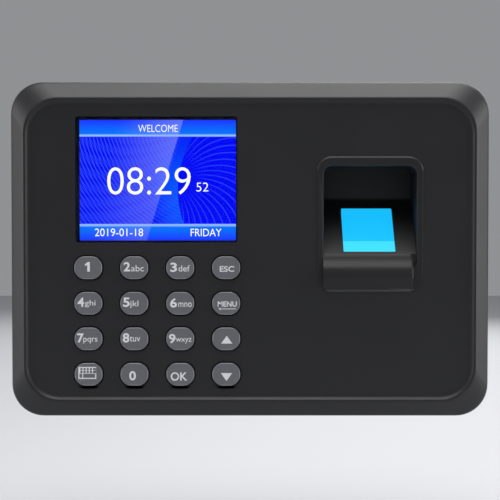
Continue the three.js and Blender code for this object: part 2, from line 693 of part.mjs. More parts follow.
// Clock cell in its holder, and the larger parts soldered to the back of the main board.
function addBoardParts() {
  const holderBack = partsBack - cellThickness - 1.6;
  const cellX = boardLeft + 27;
  const cellY = boardTop - 35;
  const holder = turned([
    [0, partsBack - 1], [cellRadius + gap, partsBack - 1], [cellRadius + gap, holderBack],
    [cellRadius + 1.5, holderBack], [cellRadius + 1.5, partsBack], [0, partsBack],
  ], 24);
  place(terminal, 'battery_holder', holder, 'chip', cellX, cellY);
  place(terminal, 'coin_cell', disc(cellRadius, partsBack - 1 - gap - cellThickness, partsBack - 1 - gap,
    0, 0, 24), 'brightMetal', cellX, cellY);
  const chip = (width, height, depth) => (
    box(-width / 2, width / 2, -height / 2, height / 2, partsBack - depth, partsBack)
  );
  const soldered = [
    ['processor_chip', chip(14, 14, 1.4), 'chip', 60, 68],
    ['memory_chip', chip(11, 8, 1.1), 'chip', 82, 70],
    ['crystal_can', slab(roundedShape(11, 4.6, 2.2), partsBack - 3.5, partsBack), 'brightMetal', 38, 66],
    ['capacitor', disc(3.2, partsBack - 7.6, partsBack), 'paper', 92, 24],
    ['inductor', slab(roundedShape(7.4, 7.4, 1.6), partsBack - 3.6, partsBack, 1), 'magnet', 92, 40],
  ];
  for (const [name, geometry, finish, fromLeft, fromTop] of soldered) {
    place(terminal, name, geometry, finish, -coverWidth / 2 + fromLeft, boardTop - fromTop);
  }
}

function addScrews() {
  const headBack = rearBack + 0.3;
  const headFront = rearInner - 0.2;
  const coverScrew = turned([
    [0, headBack + 0.4], [0.8, headBack], [2.6, headBack], [2.6, headFront], [coverScrewRadius, headFront],
    [coverScrewRadius, headFront + coverScrewLength], [0, headFront + coverScrewLength + 0.8],
  ], 12);
  coverScrewSpots.forEach(([x, y], i) => {
    place(terminal, `cover_screw_${i + 1}`, coverScrew.clone(), 'steel', x, y);
  });
  const boardScrew = turned([
    [0, partsBack - 1.3], [2.2, partsBack - 1.3], [2.2, partsBack], [boardScrewRadius, partsBack],
    [boardScrewRadius, boardScrewFront], [0, boardScrewFront],
  ], 12);
  boardScrewSpots.forEach(([x, y], i) => {
    place(terminal, `board_screw_${i + 1}`, boardScrew.clone(), 'steel', x, y);
  });
}

place(terminal, 'wall_plate', wallPlate(), 'steel');
place(terminal, 'rear_cover', rearCover(), 'darkPlastic');
place(terminal, 'front_cover', frontCover(), 'blackPlastic');
place(terminal, 'finger_bezel', fingerBezel(), 'blackPlastic');
addDisplay();
keySpots.forEach(({ name, x, y }) => place(terminal, name, keyCap(), 'keyPlastic', x, y));
place(terminal, 'keypad_mat', keypadMat(), 'silicone');
place(terminal, 'main_board', mainBoard(), 'laminate');
addSensor();
addLeads();
addSpeaker();
addSockets();
addBoardParts();
addScrews();

const part = new THREE.Group();
part.add(terminal);

export default part;
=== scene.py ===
import math
import bmesh
import bpy
from mathutils import Matrix, Vector


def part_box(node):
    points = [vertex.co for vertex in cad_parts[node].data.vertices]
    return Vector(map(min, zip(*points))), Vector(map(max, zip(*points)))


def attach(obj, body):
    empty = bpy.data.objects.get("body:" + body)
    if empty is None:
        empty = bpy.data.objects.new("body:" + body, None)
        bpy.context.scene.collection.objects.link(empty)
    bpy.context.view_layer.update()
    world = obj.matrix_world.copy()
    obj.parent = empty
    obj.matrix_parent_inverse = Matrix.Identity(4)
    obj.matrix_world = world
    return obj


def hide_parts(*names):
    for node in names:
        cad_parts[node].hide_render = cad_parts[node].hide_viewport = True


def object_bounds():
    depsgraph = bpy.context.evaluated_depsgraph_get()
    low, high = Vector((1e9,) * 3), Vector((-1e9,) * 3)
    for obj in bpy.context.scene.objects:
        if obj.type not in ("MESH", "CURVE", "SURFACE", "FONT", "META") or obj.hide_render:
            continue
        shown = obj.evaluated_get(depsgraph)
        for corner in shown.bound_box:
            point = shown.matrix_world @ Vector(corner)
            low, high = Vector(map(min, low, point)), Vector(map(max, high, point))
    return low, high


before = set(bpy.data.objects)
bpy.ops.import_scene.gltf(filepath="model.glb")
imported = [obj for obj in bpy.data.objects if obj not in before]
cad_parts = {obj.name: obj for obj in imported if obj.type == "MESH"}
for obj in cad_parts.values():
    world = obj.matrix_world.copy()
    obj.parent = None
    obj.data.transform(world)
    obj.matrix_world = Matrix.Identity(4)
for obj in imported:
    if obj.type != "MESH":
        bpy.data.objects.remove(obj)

cad_low, cad_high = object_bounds()
MM = 0.001


# The room. The terminal is shown upright over a plain pale floor in an evenly lit studio. A broad soft
# light hangs above it, a weaker one stands at each side, and the far surroundings are a pale grey.
front_low, front_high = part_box("front_cover")
FACE_Y = front_low.y
ROOM_GREY = (0.46, 0.465, 0.48)
FLOOR_SIZE = 3.0
FLOOR_DROP = 50 * MM


def principled(name, colour, roughness, metallic=0.0):
    """A named material and its main shader, with the plain values set on the shader's own sockets."""
    material = bpy.data.materials.new(name)
    material.use_nodes = True
    shader = material.node_tree.nodes["Principled BSDF"]
    shader.inputs["Base Color"].default_value = (*colour, 1)
    shader.inputs["Roughness"].default_value = roughness
    shader.inputs["Metallic"].default_value = metallic
    return material, shader


def node(material, kind, **values):
    """One shader node; a value is an input's number, a linked socket or a setting of the node."""
    made = material.node_tree.nodes.new("ShaderNode" + kind)
    for key, value in values.items():
        name = key.replace("_", " ")
        target = made.inputs.get(name)
        if target is None:
            setattr(made, key, value)
        elif isinstance(value, bpy.types.NodeSocket):
            material.node_tree.links.new(value, target)
        else:
            target.default_value = value
    return made


def link(material, output, target):
    material.node_tree.links.new(output, target)


def colour_ramp(material, value, stops):
    """A colour that follows a value through stops, each a position and a colour."""
    made = node(material, "ValToRGB", Fac=value)
    ramp = made.color_ramp
    while len(ramp.elements) < len(stops):
        ramp.elements.new(0.5)
    for element, (position, colour) in zip(ramp.elements, stops):
        element.position = position
        element.color = (*colour, 1)
    return made.outputs["Color"]


def place(name, mesh):
    piece = bpy.data.objects.new(name, mesh)
    bpy.context.scene.collection.objects.link(piece)
    return piece


floor_mesh = bpy.data.meshes.new("floor")
half_floor = FLOOR_SIZE / 2
floor_z = cad_low.z - FLOOR_DROP
floor_mesh.from_pydata([(sx * half_floor, sy * half_floor, floor_z)
                        for sx, sy in ((-1, -1), (1, -1), (1, 1), (-1, 1))], [], [(0, 1, 2, 3)])
floor = place("floor", floor_mesh)
floor_paint, floor_shader = principled("floor_paint", ROOM_GREY, 0.75)
mottle = node(floor_paint, "TexNoise", Scale=3.0, Detail=4.0)
link(floor_paint, colour_ramp(floor_paint, mottle.outputs["Fac"], [
    (0, (0.45, 0.455, 0.47)), (1, (0.48, 0.485, 0.50))]), floor_shader.inputs["Base Color"])
floor.data.materials.append(floor_paint)

world = bpy.data.worlds.new("studio")
world.use_nodes = True
world.node_tree.nodes["Background"].inputs["Color"].default_value = (0.28, 0.284, 0.294, 1)
world.node_tree.nodes["Background"].inputs["Strength"].default_value = 1.0
bpy.context.scene.world = world
bpy.context.scene.view_settings.view_transform = "Standard"


def soft_light(name, position, target, width, height, power):
    lamp = bpy.data.lights.new(name, "AREA")
    lamp.shape = "RECTANGLE"
    lamp.size, lamp.size_y = width, height
    lamp.energy = power
    holder = place(name, lamp)
    holder.location = position
    holder.rotation_mode = "QUATERNION"
    holder.rotation_quaternion = (Vector(target) - Vector(position)).to_track_quat("-Z", "Y")


soft_light("overhead", (0.08, -0.06, 0.70), (0.02, -0.01, 0), 1.0, 0.7, 8.9)
soft_light("left_side", (-0.75, -0.10, 0.05), (0, FACE_Y, 0), 0.4, 0.6, 2.6)
soft_light("right_side", (0.75, -0.10, 0.05), (0, FACE_Y, 0), 0.4, 0.6, 3.6)
soft_light("back_fill", (0.2, 0.9, 0.4), (0, 0, 0), 0.8, 0.6, 5.0)

# The camera stands straight in front, half a metre off and a little above the terminal's middle, and looks at
# the front face.
VIEW_DISTANCE = 0.52
VIEW_RAISE = math.radians(1.7)
camera_data = bpy.data.cameras.new("camera")
camera_data.sensor_width = 36.0
camera_data.lens = 100.4
camera = place("camera", camera_data)
aim = Vector((0, FACE_Y, 0))
offset = Vector((0, -math.cos(VIEW_RAISE), math.sin(VIEW_RAISE))) * VIEW_DISTANCE
camera.location = aim + offset
camera.rotation_mode = "QUATERNION"
camera.rotation_quaternion = (-offset).to_track_quat("-Z", "Y")
bpy.context.scene.camera = camera


# Front cover: one injection-moulded shell in satin black plastic. A wide sloping bevel rises from the side
# walls to a thin crest, inside which the flat panel lies slightly sunk, with its openings for the parts.
COVER_W = (front_high.x - front_low.x) / MM
COVER_H = (front_high.z - front_low.z) / MM
COVER_FRONT = -front_low.y / MM
SKIRT_BACK = 12.0
PANEL_FRONT = COVER_FRONT - 1.0
PANEL_BACK = PANEL_FRONT - 2.5
CORNER_R = 12.0
BEVEL_SIDE = 5.4
BEVEL_TOP = 6.1
BEVEL_DEPTH = 5.8
CORNER_STEPS = 12
FRONT_BLACK = (0.0155, 0.0155, 0.0168)


def outline(width, height, radius, x=0.0, z=0.0, steps=CORNER_STEPS):
    """Points of a rounded rectangle, anticlockwise as seen from the front, in millimetres."""
    points = []
    for corner, (sx, sz) in enumerate(((1, 1), (-1, 1), (-1, -1), (1, -1))):
        for i in range(steps + 1):
            turn = (corner + i / steps) * math.pi / 2
            points.append((x + sx * (width / 2 - radius) + radius * math.cos(turn),
                           z + sz * (height / 2 - radius) + radius * math.sin(turn)))
    return points


def ring(bm, points, depth):
    """Vertices at a distance from the wall, which is a number or a function of x and z."""
    reach = depth if callable(depth) else (lambda x, z: depth)
    return [bm.verts.new((x * MM, -reach(x, z) * MM, z * MM)) for x, z in points]


def bridge(bm, first, second):
    count = len(first)
    for i in range(count):
        j = (i + 1) % count
        bm.faces.new((first[i], first[j], second[j], second[i]))


def loft(bm, rings):
    for first, second in zip(rings, rings[1:]):
        bridge(bm, first, second)


def capped(bm, rings):
    """A loft closed by one face at each end."""
    loft(bm, rings)
    bm.faces.new(rings[0])
    bm.faces.new(rings[-1])


def fill(bm, *loops, flat=True):
    """A face between an outer loop and any holes in it, noted as flat so that its shading stays even."""
    edges = []
    for loop in loops:
        for i, vert in enumerate(loop):
            pair = (vert, loop[(i + 1) % len(loop)])
            edges.append(bm.edges.get(pair) or bm.edges.new(pair))
    noted = bm.faces.layers.int.get("flat") or bm.faces.layers.int.new("flat")
    for made in bmesh.ops.triangle_fill(bm, use_beauty=True, use_dissolve=False, edges=edges)["geom"]:
        if isinstance(made, bmesh.types.BMFace) and flat:
            made[noted] = 1


def eased(profile, amounts, steps=4):
    """The profile's tuples with each inner corner rounded, starting the given distance from it."""
    made = [profile[0]]
    for before, corner, after, amount in zip(profile, profile[1:], profile[2:], amounts):
        if amount == 0:
            made.append(corner)
            continue
        ends = []
        for other in (before, after):
            span = math.dist((other[0] / 2, other[3]), (corner[0] / 2, corner[3]))
            share = min(0.45, amount / max(span, 1e-6))
            ends.append([c + (o - c) * share for c, o in zip(corner, other)])
        for i in range(steps + 1):
            t = i / steps
            made.append(tuple((1 - t) ** 2 * a + 2 * t * (1 - t) * c + t * t * b
                              for a, c, b in zip(ends[0], corner, ends[1])))
    made.append(profile[-1])
    return made


def crisp(piece, sharp=38):
    """Shades a piece smooth, keeping the folds above the angle and the borders of flat faces crisp."""
    bm = bmesh.new()
    bm.from_mesh(piece.data)
    noted = bm.faces.layers.int.get("flat") or bm.faces.layers.int.new("flat")
    for face in bm.faces:
        face.smooth = True
    for edge in bm.edges:
        turn = math.degrees(edge.calc_face_angle(math.pi))
        edge.smooth = turn < sharp and not (turn > 0.5 and any(face[noted] for face in edge.link_faces))
    bm.to_mesh(piece.data)
    bm.free()
    if "even_normals" not in piece.modifiers:
        modifier = piece.modifiers.new("even_normals", "WEIGHTED_NORMAL")
        modifier.keep_sharp = True


def cast(bm, name):
    """Turns the built faces outwards and makes them a piece."""
    bmesh.ops.recalc_face_normals(bm, faces=bm.faces)
    mesh = bpy.data.meshes.new(name)
    bm.to_mesh(mesh)
    bm.free()
    return place(name, mesh)


def solid(bm, name, sharp=38):
    """A closed piece with its seams welded and its folds kept crisp."""
    bmesh.ops.remove_doubles(bm, verts=bm.verts, dist=1e-7)
    piece = cast(bm, name)
    crisp(piece, sharp)
    return piece


def combine(piece, tool, operation="DIFFERENCE", sharp=38):
    """Cuts the tool from the piece, or joins it on, and drops the tool."""
    piece.modifiers.clear()
    tool.modifiers.clear()
    modifier = piece.modifiers.new("combine", "BOOLEAN")
    modifier.operation = operation
    modifier.solver = "EXACT"
    modifier.object = tool
    bpy.context.view_layer.update()
    held = piece.evaluated_get(bpy.context.evaluated_depsgraph_get())
    mesh = bpy.data.meshes.new_from_object(held)
    piece.modifiers.clear()
    piece.data = mesh
    bpy.data.objects.remove(tool)
    crisp(piece, sharp)


def block(x0, x1, y0, y1, z0, z1):
    """A plain cutter for an opening, in millimetres from the wall outwards in y."""
    bm = bmesh.new()
    capped(bm, [ring(bm, [(x0, z0), (x1, z0), (x1, z1), (x0, z1)], d) for d in (y0, y1)])
    return cast(bm, "cutter")


def pattern(material, kind="Noise", output="Fac", vector=None, **values):
    """A texture that is fixed to the piece."""
    vector = vector or node(material, "TexCoord").outputs["Object"]
    return node(material, "Tex" + kind, Vector=vector, **values).outputs[output]


def shades(colour, low, high):
    """The colour made darker and lighter, as two plain colours."""
    return [[min(1, c * share) for c in colour] for share in (low, high)]


def blended(material, share, first, second):
    """Two colours or colour sockets mixed by a share."""
    made = node(material, "Mix", data_type="RGBA")
    link(material, share, made.inputs["Factor"])
    for slot, value in ((6, first), (7, second)):
        if isinstance(value, bpy.types.NodeSocket):
            link(material, value, made.inputs[slot])
        else:
            made.inputs[slot].default_value = (*value, 1)
    return made.outputs[2]


def uneven_gloss(material, shader, value, low, high):
    """Roughness that wanders between two limits, following a pattern."""
    gloss = node(material, "MapRange", Value=value)
    gloss.inputs["To Min"].default_value = low
    gloss.inputs["To Max"].default_value = high
    link(material, gloss.outputs["Result"], shader.inputs["Roughness"])


def relief(material, shader, height, strength, distance):
    bump = node(material, "Bump", Height=height, Strength=strength, Distance=distance)
    link(material, bump.outputs["Normal"], shader.inputs["Normal"])


def moulded(name, colour, roughness, grain=0.10, sheen_variation=0.06, wear=0.35):
    """Moulded plastic: a fine spark-eroded grain, faint flow mottling, and edges rubbed a little paler."""
    material, shader = principled(name, colour, roughness)
    shader.inputs["Specular IOR Level"].default_value = 0.36
    spot = pattern(material, Scale=2600.0, Detail=3.0, Roughness=0.6)
    wide = pattern(material, Scale=38.0, Detail=5.0, Roughness=0.55)
    surface = colour_ramp(material, wide, list(enumerate(shades(colour, 0.88, 1.12))))
    if wear:
        edge = node(material, "NewGeometry").outputs["Pointiness"]
        rub = colour_ramp(material, edge, [(0.52, (0, 0, 0)), (0.62, (wear, wear, wear))])
        surface = blended(material, rub, surface, [min(1, c * 2.2 + 0.01) for c in colour])
    link(material, surface, shader.inputs["Base Color"])
    uneven_gloss(material, shader, wide, roughness - sheen_variation, roughness + sheen_variation)
    relief(material, shader, spot, grain, 0.00006)
    return material


def finish_piece(piece, material, body, nodes=()):
    piece.data.materials.clear()
    piece.data.materials.append(material)
    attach(piece, body)
    if nodes:
        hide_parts(*nodes)
    return piece


def node_middle(name):
    low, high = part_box(name)
    return (low + high) / (2 * MM)


def node_size(name):
    low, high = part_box(name)
    return (high - low) / MM


KEYS = ["key_1", "key_2", "key_3", "key_esc", "key_4", "key_5", "key_6", "key_menu",
        "key_7", "key_8", "key_9", "key_up", "key_keyboard", "key_0", "key_ok", "key_down"]
KEY_SPREAD = 0.9
KEY_GAP = 0.4
KEY_W = node_size("key_1").x - 2 * KEY_SPREAD
KEY_H = node_size("key_1").z - 2 * KEY_SPREAD
KEY_R = 3.9
window_low, window_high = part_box("display_window")
OPEN_W = (window_high.x - window_low.x) / MM - 3.5
OPEN_H = (window_high.z - window_low.z) / MM - 3.5
OPEN_X, _, OPEN_Z = node_middle("display_window")
INSERT_W, _, INSERT_H = node_size("finger_bezel")
INSERT_X, _, INSERT_Z = node_middle("finger_bezel")
INSERT_R = 5.6
SEAM = 0.02

cover_bm = bmesh.new()
back_w, back_h = COVER_W - 0.8, COVER_H - 0.8
crest_w, crest_h = COVER_W - 2 * BEVEL_SIDE, COVER_H - 2 * BEVEL_TOP
outer = eased([
    (back_w - 5.0, back_h - 5.0, CORNER_R - 2.9, SKIRT_BACK),
    (back_w, back_h, CORNER_R - 0.4, SKIRT_BACK),
    (COVER_W, COVER_H, CORNER_R, COVER_FRONT - BEVEL_DEPTH),
    (crest_w - 0.2, crest_h - 0.2, CORNER_R + 1.2, COVER_FRONT),
    (crest_w - 1.5, crest_h - 1.5, CORNER_R + 0.7, COVER_FRONT),
    (crest_w - 3.6, crest_h - 3.9, CORNER_R - 0.2, PANEL_FRONT),
    (crest_w - 7.5, crest_h - 7.5, CORNER_R - 2.2, PANEL_FRONT),
], [0.5, 1.2, 0.55, 0.35, 0.7])
for inset in (9.0, 10.5):
    outer.append((crest_w - inset, crest_h - inset, CORNER_R - inset / 3, PANEL_FRONT))
cover_rings = [ring(cover_bm, outline(w, h, r), d) for w, h, r, d in outer]
inner = [
    (crest_w - 4.5, crest_h - 4.7, CORNER_R - 1, PANEL_BACK),
    (COVER_W - 5.0, COVER_H - 5.0, CORNER_R - 2.5, COVER_FRONT - BEVEL_DEPTH - 1.3),
]
inner_rings = [ring(cover_bm, outline(w, h, r), d) for w, h, r, d in inner]
loft(cover_bm, cover_rings)
loft(cover_bm, [*inner_rings, cover_rings[0]])
openings = [(OPEN_W, OPEN_H, 1.2, OPEN_X, OPEN_Z, 0.3), (
    INSERT_W + 2 * SEAM, INSERT_H + 2 * SEAM, INSERT_R + SEAM, INSERT_X, INSERT_Z, 0.03)]
for key in KEYS:
    middle = node_middle(key)
    openings.append((KEY_W + 2 * KEY_GAP, KEY_H + 2 * KEY_GAP, KEY_R + KEY_GAP, middle.x, middle.z, 0.25))
front_loops, back_loops = [cover_rings[-1]], [inner_rings[0]]
for w, h, r, x, z, lip in openings:
    sides = eased([
        (w + 2 * lip, h + 2 * lip, r + lip, PANEL_FRONT), (w, h, r, PANEL_FRONT),
        (w, h, r, PANEL_FRONT - 1.2), (w, h, r, PANEL_BACK),
    ], [lip, 0], 3)
    for margin in (0.3, 0.6):
        grown = lip + margin
        sides.insert(0, (w + 2 * grown, h + 2 * grown, r + grown, PANEL_FRONT))
    hole = [ring(cover_bm, outline(a, b, c, x, z, 8), d) for a, b, c, d in sides]
    loft(cover_bm, hole)
    front_loops.append(hole[0])
    back_loops.append(hole[-1])
fill(cover_bm, *front_loops)
fill(cover_bm, *back_loops)
front_cover = solid(cover_bm, "front_shell")


def rod(x, y, z0, z1, radius, sides=40):
    """An upright round cutter at a distance y from the wall."""
    bm = bmesh.new()
    rounds = [[bm.verts.new(((x + radius * math.cos(i * math.tau / sides)) * MM,
                             (-y + radius * math.sin(i * math.tau / sides)) * MM, z * MM))
               for i in range(sides)] for z in (z0, z1)]
    capped(bm, rounds)
    return cast(bm, "cutter")


SOCKET_ROOM = 0.35                           # clearance round the USB shell
BELOW = cad_low.z / MM - 2                   # where the cutters start, under the lower edge


def cut_sockets(cover, reach, bore):
    """Lets the USB socket and the power inlet through a cover's lower edge."""
    low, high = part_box("usb_shell")
    combine(cover, block(low.x / MM - SOCKET_ROOM, high.x / MM + SOCKET_ROOM, -high.y / MM - SOCKET_ROOM,
                         -low.y / MM + SOCKET_ROOM, BELOW, low.z / MM + reach))
    jack = node_middle("dc_jack")
    combine(cover, rod(jack.x, -jack.y, BELOW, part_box("dc_jack")[0].z / MM + reach, bore))


cut_sockets(front_cover, 2, 3.05)
front_plastic = moulded("front_satin_black", FRONT_BLACK, 0.42)
finish_piece(front_cover, front_plastic, "terminal", ["front_cover"])


def unrubbed(piece, material, depth):
    """The broad flat face at a depth keeps its moulded finish: only edges are rubbed by hands."""
    piece.data.materials.append(material)
    for face in piece.data.polygons:
        if abs(face.normal.y) > 0.9999 and abs(face.center.y / MM + depth) < 0.01:
            face.material_index = 1


unrubbed(front_cover, moulded("panel_satin_black", FRONT_BLACK, 0.42, wear=0), PANEL_FRONT)


# Finger insert: a separate moulding in the same black plastic, pressed into its opening from the front.
# Round a deep pocket its rim stands proud at the top, and the tilted floor guides the finger over a lip to
# the window.
insert_low, insert_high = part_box("finger_bezel")
POCKET_W = 34.7
POCKET_TOP = insert_high.z / MM - 3.75
POCKET_R = 3.2
ROLL_R = 5.0
ROLL_D = -insert_low.y / MM - ROLL_R
POCKET_BACK = 9.7
SEAT_TILT = 0.8
SEAT_Z = insert_high.z / MM - 27.5
GLASS_W = 19.3
GLASS_L = 23.2
RIM_RISE = 0.5
SHELL, THROAT_HIGH, SIDE_WALL = 2.2, 4.0, 1.8     # walls of the floor, the hole's upper end and the pocket
SKIRT_DEPTH = PANEL_BACK - 0.3
SINK_DEPTH = 0.45
SEAT_OUT = -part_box("sensor_window")[0].y / MM - math.sin(SEAT_TILT) * GLASS_L / 2
ROLL_Z = SEAT_Z - (ROLL_R + (ROLL_D - SEAT_OUT) * math.cos(SEAT_TILT)) / math.sin(SEAT_TILT)
MOUTH_BOTTOM = insert_high.z / MM - 42.1
FLOOR_LIMIT = PANEL_FRONT - 1.05
FLOOR_END = SEAT_Z - (FLOOR_LIMIT - SEAT_OUT) / math.tan(SEAT_TILT)
mouth_h = POCKET_TOP - MOUTH_BOTTOM
mouth_z = (POCKET_TOP + MOUTH_BOTTOM) / 2


def seat_depth(z):
    """How far from the wall the tilted floor lies at a height."""
    return SEAT_OUT - (z - SEAT_Z) * math.tan(SEAT_TILT)


def pocket_floor(z, blend=0.8):
    """The tilted floor and the upright back wall, softly joined. Under the lip the floor levels off."""
    gap = min(seat_depth(z), FLOOR_LIMIT) - POCKET_BACK
    if abs(gap) > blend:
        return POCKET_BACK + max(gap, 0)
    return POCKET_BACK + (gap + blend) ** 2 / (4 * blend)


def rim_front(x, z):
    """The rim stands proud across its top and sinks to the panel's level down its sides."""
    share = max(0.0, min(1.0, (z - insert_high.z / MM + 15) / 12))
    return PANEL_FRONT + RIM_RISE * share * share * (3 - 2 * share)


def swell(vert, amount, radius):
    """A point of the pocket's mouth moved outwards, square to the mouth's outline."""
    x, z = vert.co.x / MM - INSERT_X, vert.co.z / MM - mouth_z
    reach_x, reach_z = POCKET_W / 2 - radius, mouth_h / 2 - radius
    out = Vector((x - max(-reach_x, min(reach_x, x)), z - max(-reach_z, min(reach_z, z))))
    out.normalize()
    return INSERT_X + x + out.x * amount, mouth_z + z + out.y * amount


insert_bm = bmesh.new()
hole_w, hole_h = GLASS_W + 0.3, (GLASS_L + 0.3) * math.cos(SEAT_TILT)
mouth = ring(insert_bm, outline(POCKET_W, mouth_h, POCKET_R, INSERT_X, mouth_z, 8), 0.0)
window_hole = ring(insert_bm, outline(hole_w, hole_h, 0.4, INSERT_X, SEAT_Z, 3), 0.0)
fill(insert_bm, mouth, window_hole, flat=False)
turn_z = SEAT_Z + (SEAT_OUT - POCKET_BACK) / math.tan(SEAT_TILT)
for z in [turn_z + step * 0.27 for step in range(-8, 9)] + [FLOOR_END, SEAT_Z, turn_z + 5, turn_z + 9]:
    bmesh.ops.bisect_plane(insert_bm, geom=insert_bm.verts[:] + insert_bm.edges[:] + insert_bm.faces[:],
                           plane_co=(0, 0, z * MM), plane_no=(0, 0, 1), dist=1e-7)


def border_loops(bm):
    """The open edges' vertices, as one ordered list for each loop."""
    loops, left = [], {e for e in bm.edges if len(e.link_faces) == 1}
    while left:
        edge = left.pop()
        start, here = edge.verts
        loop = [start, here]
        while True:
            step = next((e for e in here.link_edges if e in left), None)
            if step is None:
                break
            left.discard(step)
            here = step.other_vert(here)
            if here is start:
                break
            loop.append(here)
        loops.append(loop)
    return sorted(loops, key=len, reverse=True)


def widest(loop):
    return max(v.co.x for v in loop) - min(v.co.x for v in loop)


def swollen_ring(bm, loop, amount, reach):
    made = []
    for vert in loop:
        x, z = swell(vert, amount, POCKET_R)
        made.append(bm.verts.new((x * MM, -reach(x, z) * MM, z * MM)))
    return made


hole_loop, mouth_loop = sorted(border_loops(insert_bm), key=widest)
for vert in insert_bm.verts:
    vert.co.y = -pocket_floor(vert.co.z / MM) * MM
rim_rings = [mouth_loop]
for amount, drop in ((0.0, 1.0), (0.03, 0.55), (0.14, 0.25), (0.32, 0.08), (0.6, 0.0)):
    rim_rings.append(swollen_ring(insert_bm, mouth_loop, amount, lambda x, z, d=drop: rim_front(x, z) - d))
loft(insert_bm, rim_rings)
throat = []
for vert in hole_loop:
    thick = THROAT_HIGH if vert.co.z > SEAT_Z * MM else SHELL
    throat.append(insert_bm.verts.new((vert.co.x, vert.co.y + thick * MM, vert.co.z)))
bridge(insert_bm, hole_loop, throat)
under = swollen_ring(insert_bm, mouth_loop, SIDE_WALL,
                     lambda x, z: min(pocket_floor(z) - SHELL, PANEL_BACK - 0.8))
under_face = [insert_bm.verts.new(v.co) for v in under]
bridge(insert_bm, under, under_face)
fill(insert_bm, under_face, throat)
skirt = swollen_ring(insert_bm, mouth_loop, SIDE_WALL, lambda x, z: SKIRT_DEPTH)
bridge(insert_bm, under, skirt)
edge_rings = []
for grow, drop in ((1.0, 0.0), (0.68, 0.01), (0.58, 0.05), (0.10, 0.42), (0.03, 0.47), (0.0, 0.8)):
    def reach(x, z, fall=drop):
        rise = (rim_front(x, z) - PANEL_FRONT) / RIM_RISE
        return rim_front(x, z) - fall * rise if fall < 0.8 else PANEL_FRONT - SINK_DEPTH
    shape = outline(INSERT_W - 2 * grow, INSERT_H - 2 * grow, INSERT_R - grow, INSERT_X, INSERT_Z, 10)
    edge_rings.append(ring(insert_bm, shape, reach))
edge_rings.append(ring(insert_bm, outline(INSERT_W, INSERT_H, INSERT_R, INSERT_X, INSERT_Z, 10), SKIRT_DEPTH))
loft(insert_bm, edge_rings)
fill(insert_bm, edge_rings[0], rim_rings[-1])
fill(insert_bm, edge_rings[-1], skirt)
insert = solid(insert_bm, "finger_insert", 30)

# Under the lip a shallow sink with a chamfered edge frames the chin's foot.
CHIN_W = 33.0
CHIN_X = INSERT_X - 0.3
CHIN_FOOT = insert_low.z / MM + 0.75
sink_bm = bmesh.new()
sink_h = ROLL_Z + 1.0 - CHIN_FOOT


def sink_floor(x, z):
    return PANEL_FRONT - SINK_DEPTH + max(0.0, z - CHIN_FOOT - 0.3) * 0.9


SINK_Z = CHIN_FOOT - 0.12 + sink_h / 2
sink_rings = []
for grow, rise in ((-0.05, 0.0), (0.0, 0.05), (0.6, 0.65)):
    shape = outline(CHIN_W + 2 * grow, sink_h + 2 * grow, 1.6 + grow, CHIN_X, SINK_Z, 6)
    sink_rings.append(ring(sink_bm, shape, lambda x, z, up=rise: sink_floor(x, z) + up))
capped(sink_bm, sink_rings)
combine(insert, solid(sink_bm, "sink"))

# The lip and chin are one raised bar across the foot of the pocket, part of the same moulding. From the
# seat the surface steepens, swells into a broad roll that the finger slides over, and falls to the chin.
LIP_SWEEP = [(0.00, 0.0), (0.42, 0.6), (0.78, 1.3), (1.13, 2.1), (1.55, 2.9), (2.10, 3.7), (2.66, 4.5),
             (3.14, 5.4), (3.46, 6.5), (3.62, 7.7), (3.60, 9.2)]
LIP_END_R = 1.1
seat_foot = seat_depth(FLOOR_END + 0.08)
bar = [(PANEL_FRONT - 1.6, CHIN_FOOT), (PANEL_FRONT - 0.42, CHIN_FOOT),
       (PANEL_FRONT - 0.25, CHIN_FOOT + 0.15)]
sweep = [(seat_foot + d, FLOOR_END + 0.08 - drop) for d, drop in LIP_SWEEP]
smooth_sweep = []
for i in range(len(sweep) - 1):
    before, start, end, after = (Vector(sweep[max(0, min(len(sweep) - 1, i + k))]) for k in (-1, 0, 1, 2))
    for step in range(4):
        t = step / 4
        bend = 2 * before - 5 * start + 4 * end - after
        twist = 3 * start - before - 3 * end + after
        smooth_sweep.append(0.5 * (2 * start + (end - before) * t + bend * t ** 2 + twist * t ** 3))
smooth_sweep.append(Vector(sweep[-1]))
smooth_sweep.reverse()
bar_back = (FLOOR_LIMIT - 1.0, FLOOR_END - 0.5)


def drawn_in(amount):
    """The lip's sweep moved square to itself into the material, which rounds the bar's free end."""
    moved = []
    for i, point in enumerate(smooth_sweep):
        along = smooth_sweep[min(i + 1, len(smooth_sweep) - 1)] - smooth_sweep[max(i - 1, 0)]
        along.normalize()
        moved.append((point.x - along.y * amount, point.y + min(0.0, along.x * amount)))
    return moved


bar_bm = bmesh.new()
bar_left, bar_right = INSERT_X - POCKET_W / 2 - 0.2, CHIN_X + CHIN_W / 2
sections = [(bar_left, 0.0), (bar_right - LIP_END_R * 2, 0.0)]
for i in range(7):
    turn = i / 6 * math.pi / 2
    sections.append((bar_right - LIP_END_R * (1 - math.sin(turn)), LIP_END_R * (1 - math.cos(turn))))
ends = []
for x, amount in sections:
    shape = bar + drawn_in(amount) + [bar_back]
    ends.append([bar_bm.verts.new((x * MM, -d * MM, z * MM)) for d, z in shape])
capped(bar_bm, ends)
combine(insert, solid(bar_bm, "lip_bar"), "UNION", 30)
finish_piece(insert, moulded("insert_satin_black", (0.0115, 0.0115, 0.0127), 0.47, wear=0), "terminal",
             ["finger_bezel"])
# The up-facing chamfer under the chin's foot gets a paler finish: a painted highlight, a light line that the
# lip's shade keeps the lamp from giving.
insert.data.materials.append(moulded("insert_painted_edge_highlight", (0.11, 0.11, 0.115), 0.40, wear=0))
for face in insert.data.polygons:
    spot = face.center / MM
    if 0.3 < -face.normal.y < 0.95 and -0.8 < spot.z - CHIN_FOOT < 1.3 and -spot.y < PANEL_FRONT + 0.1 \
            and -spot.y > PANEL_FRONT - 0.5:
        face.material_index = 1


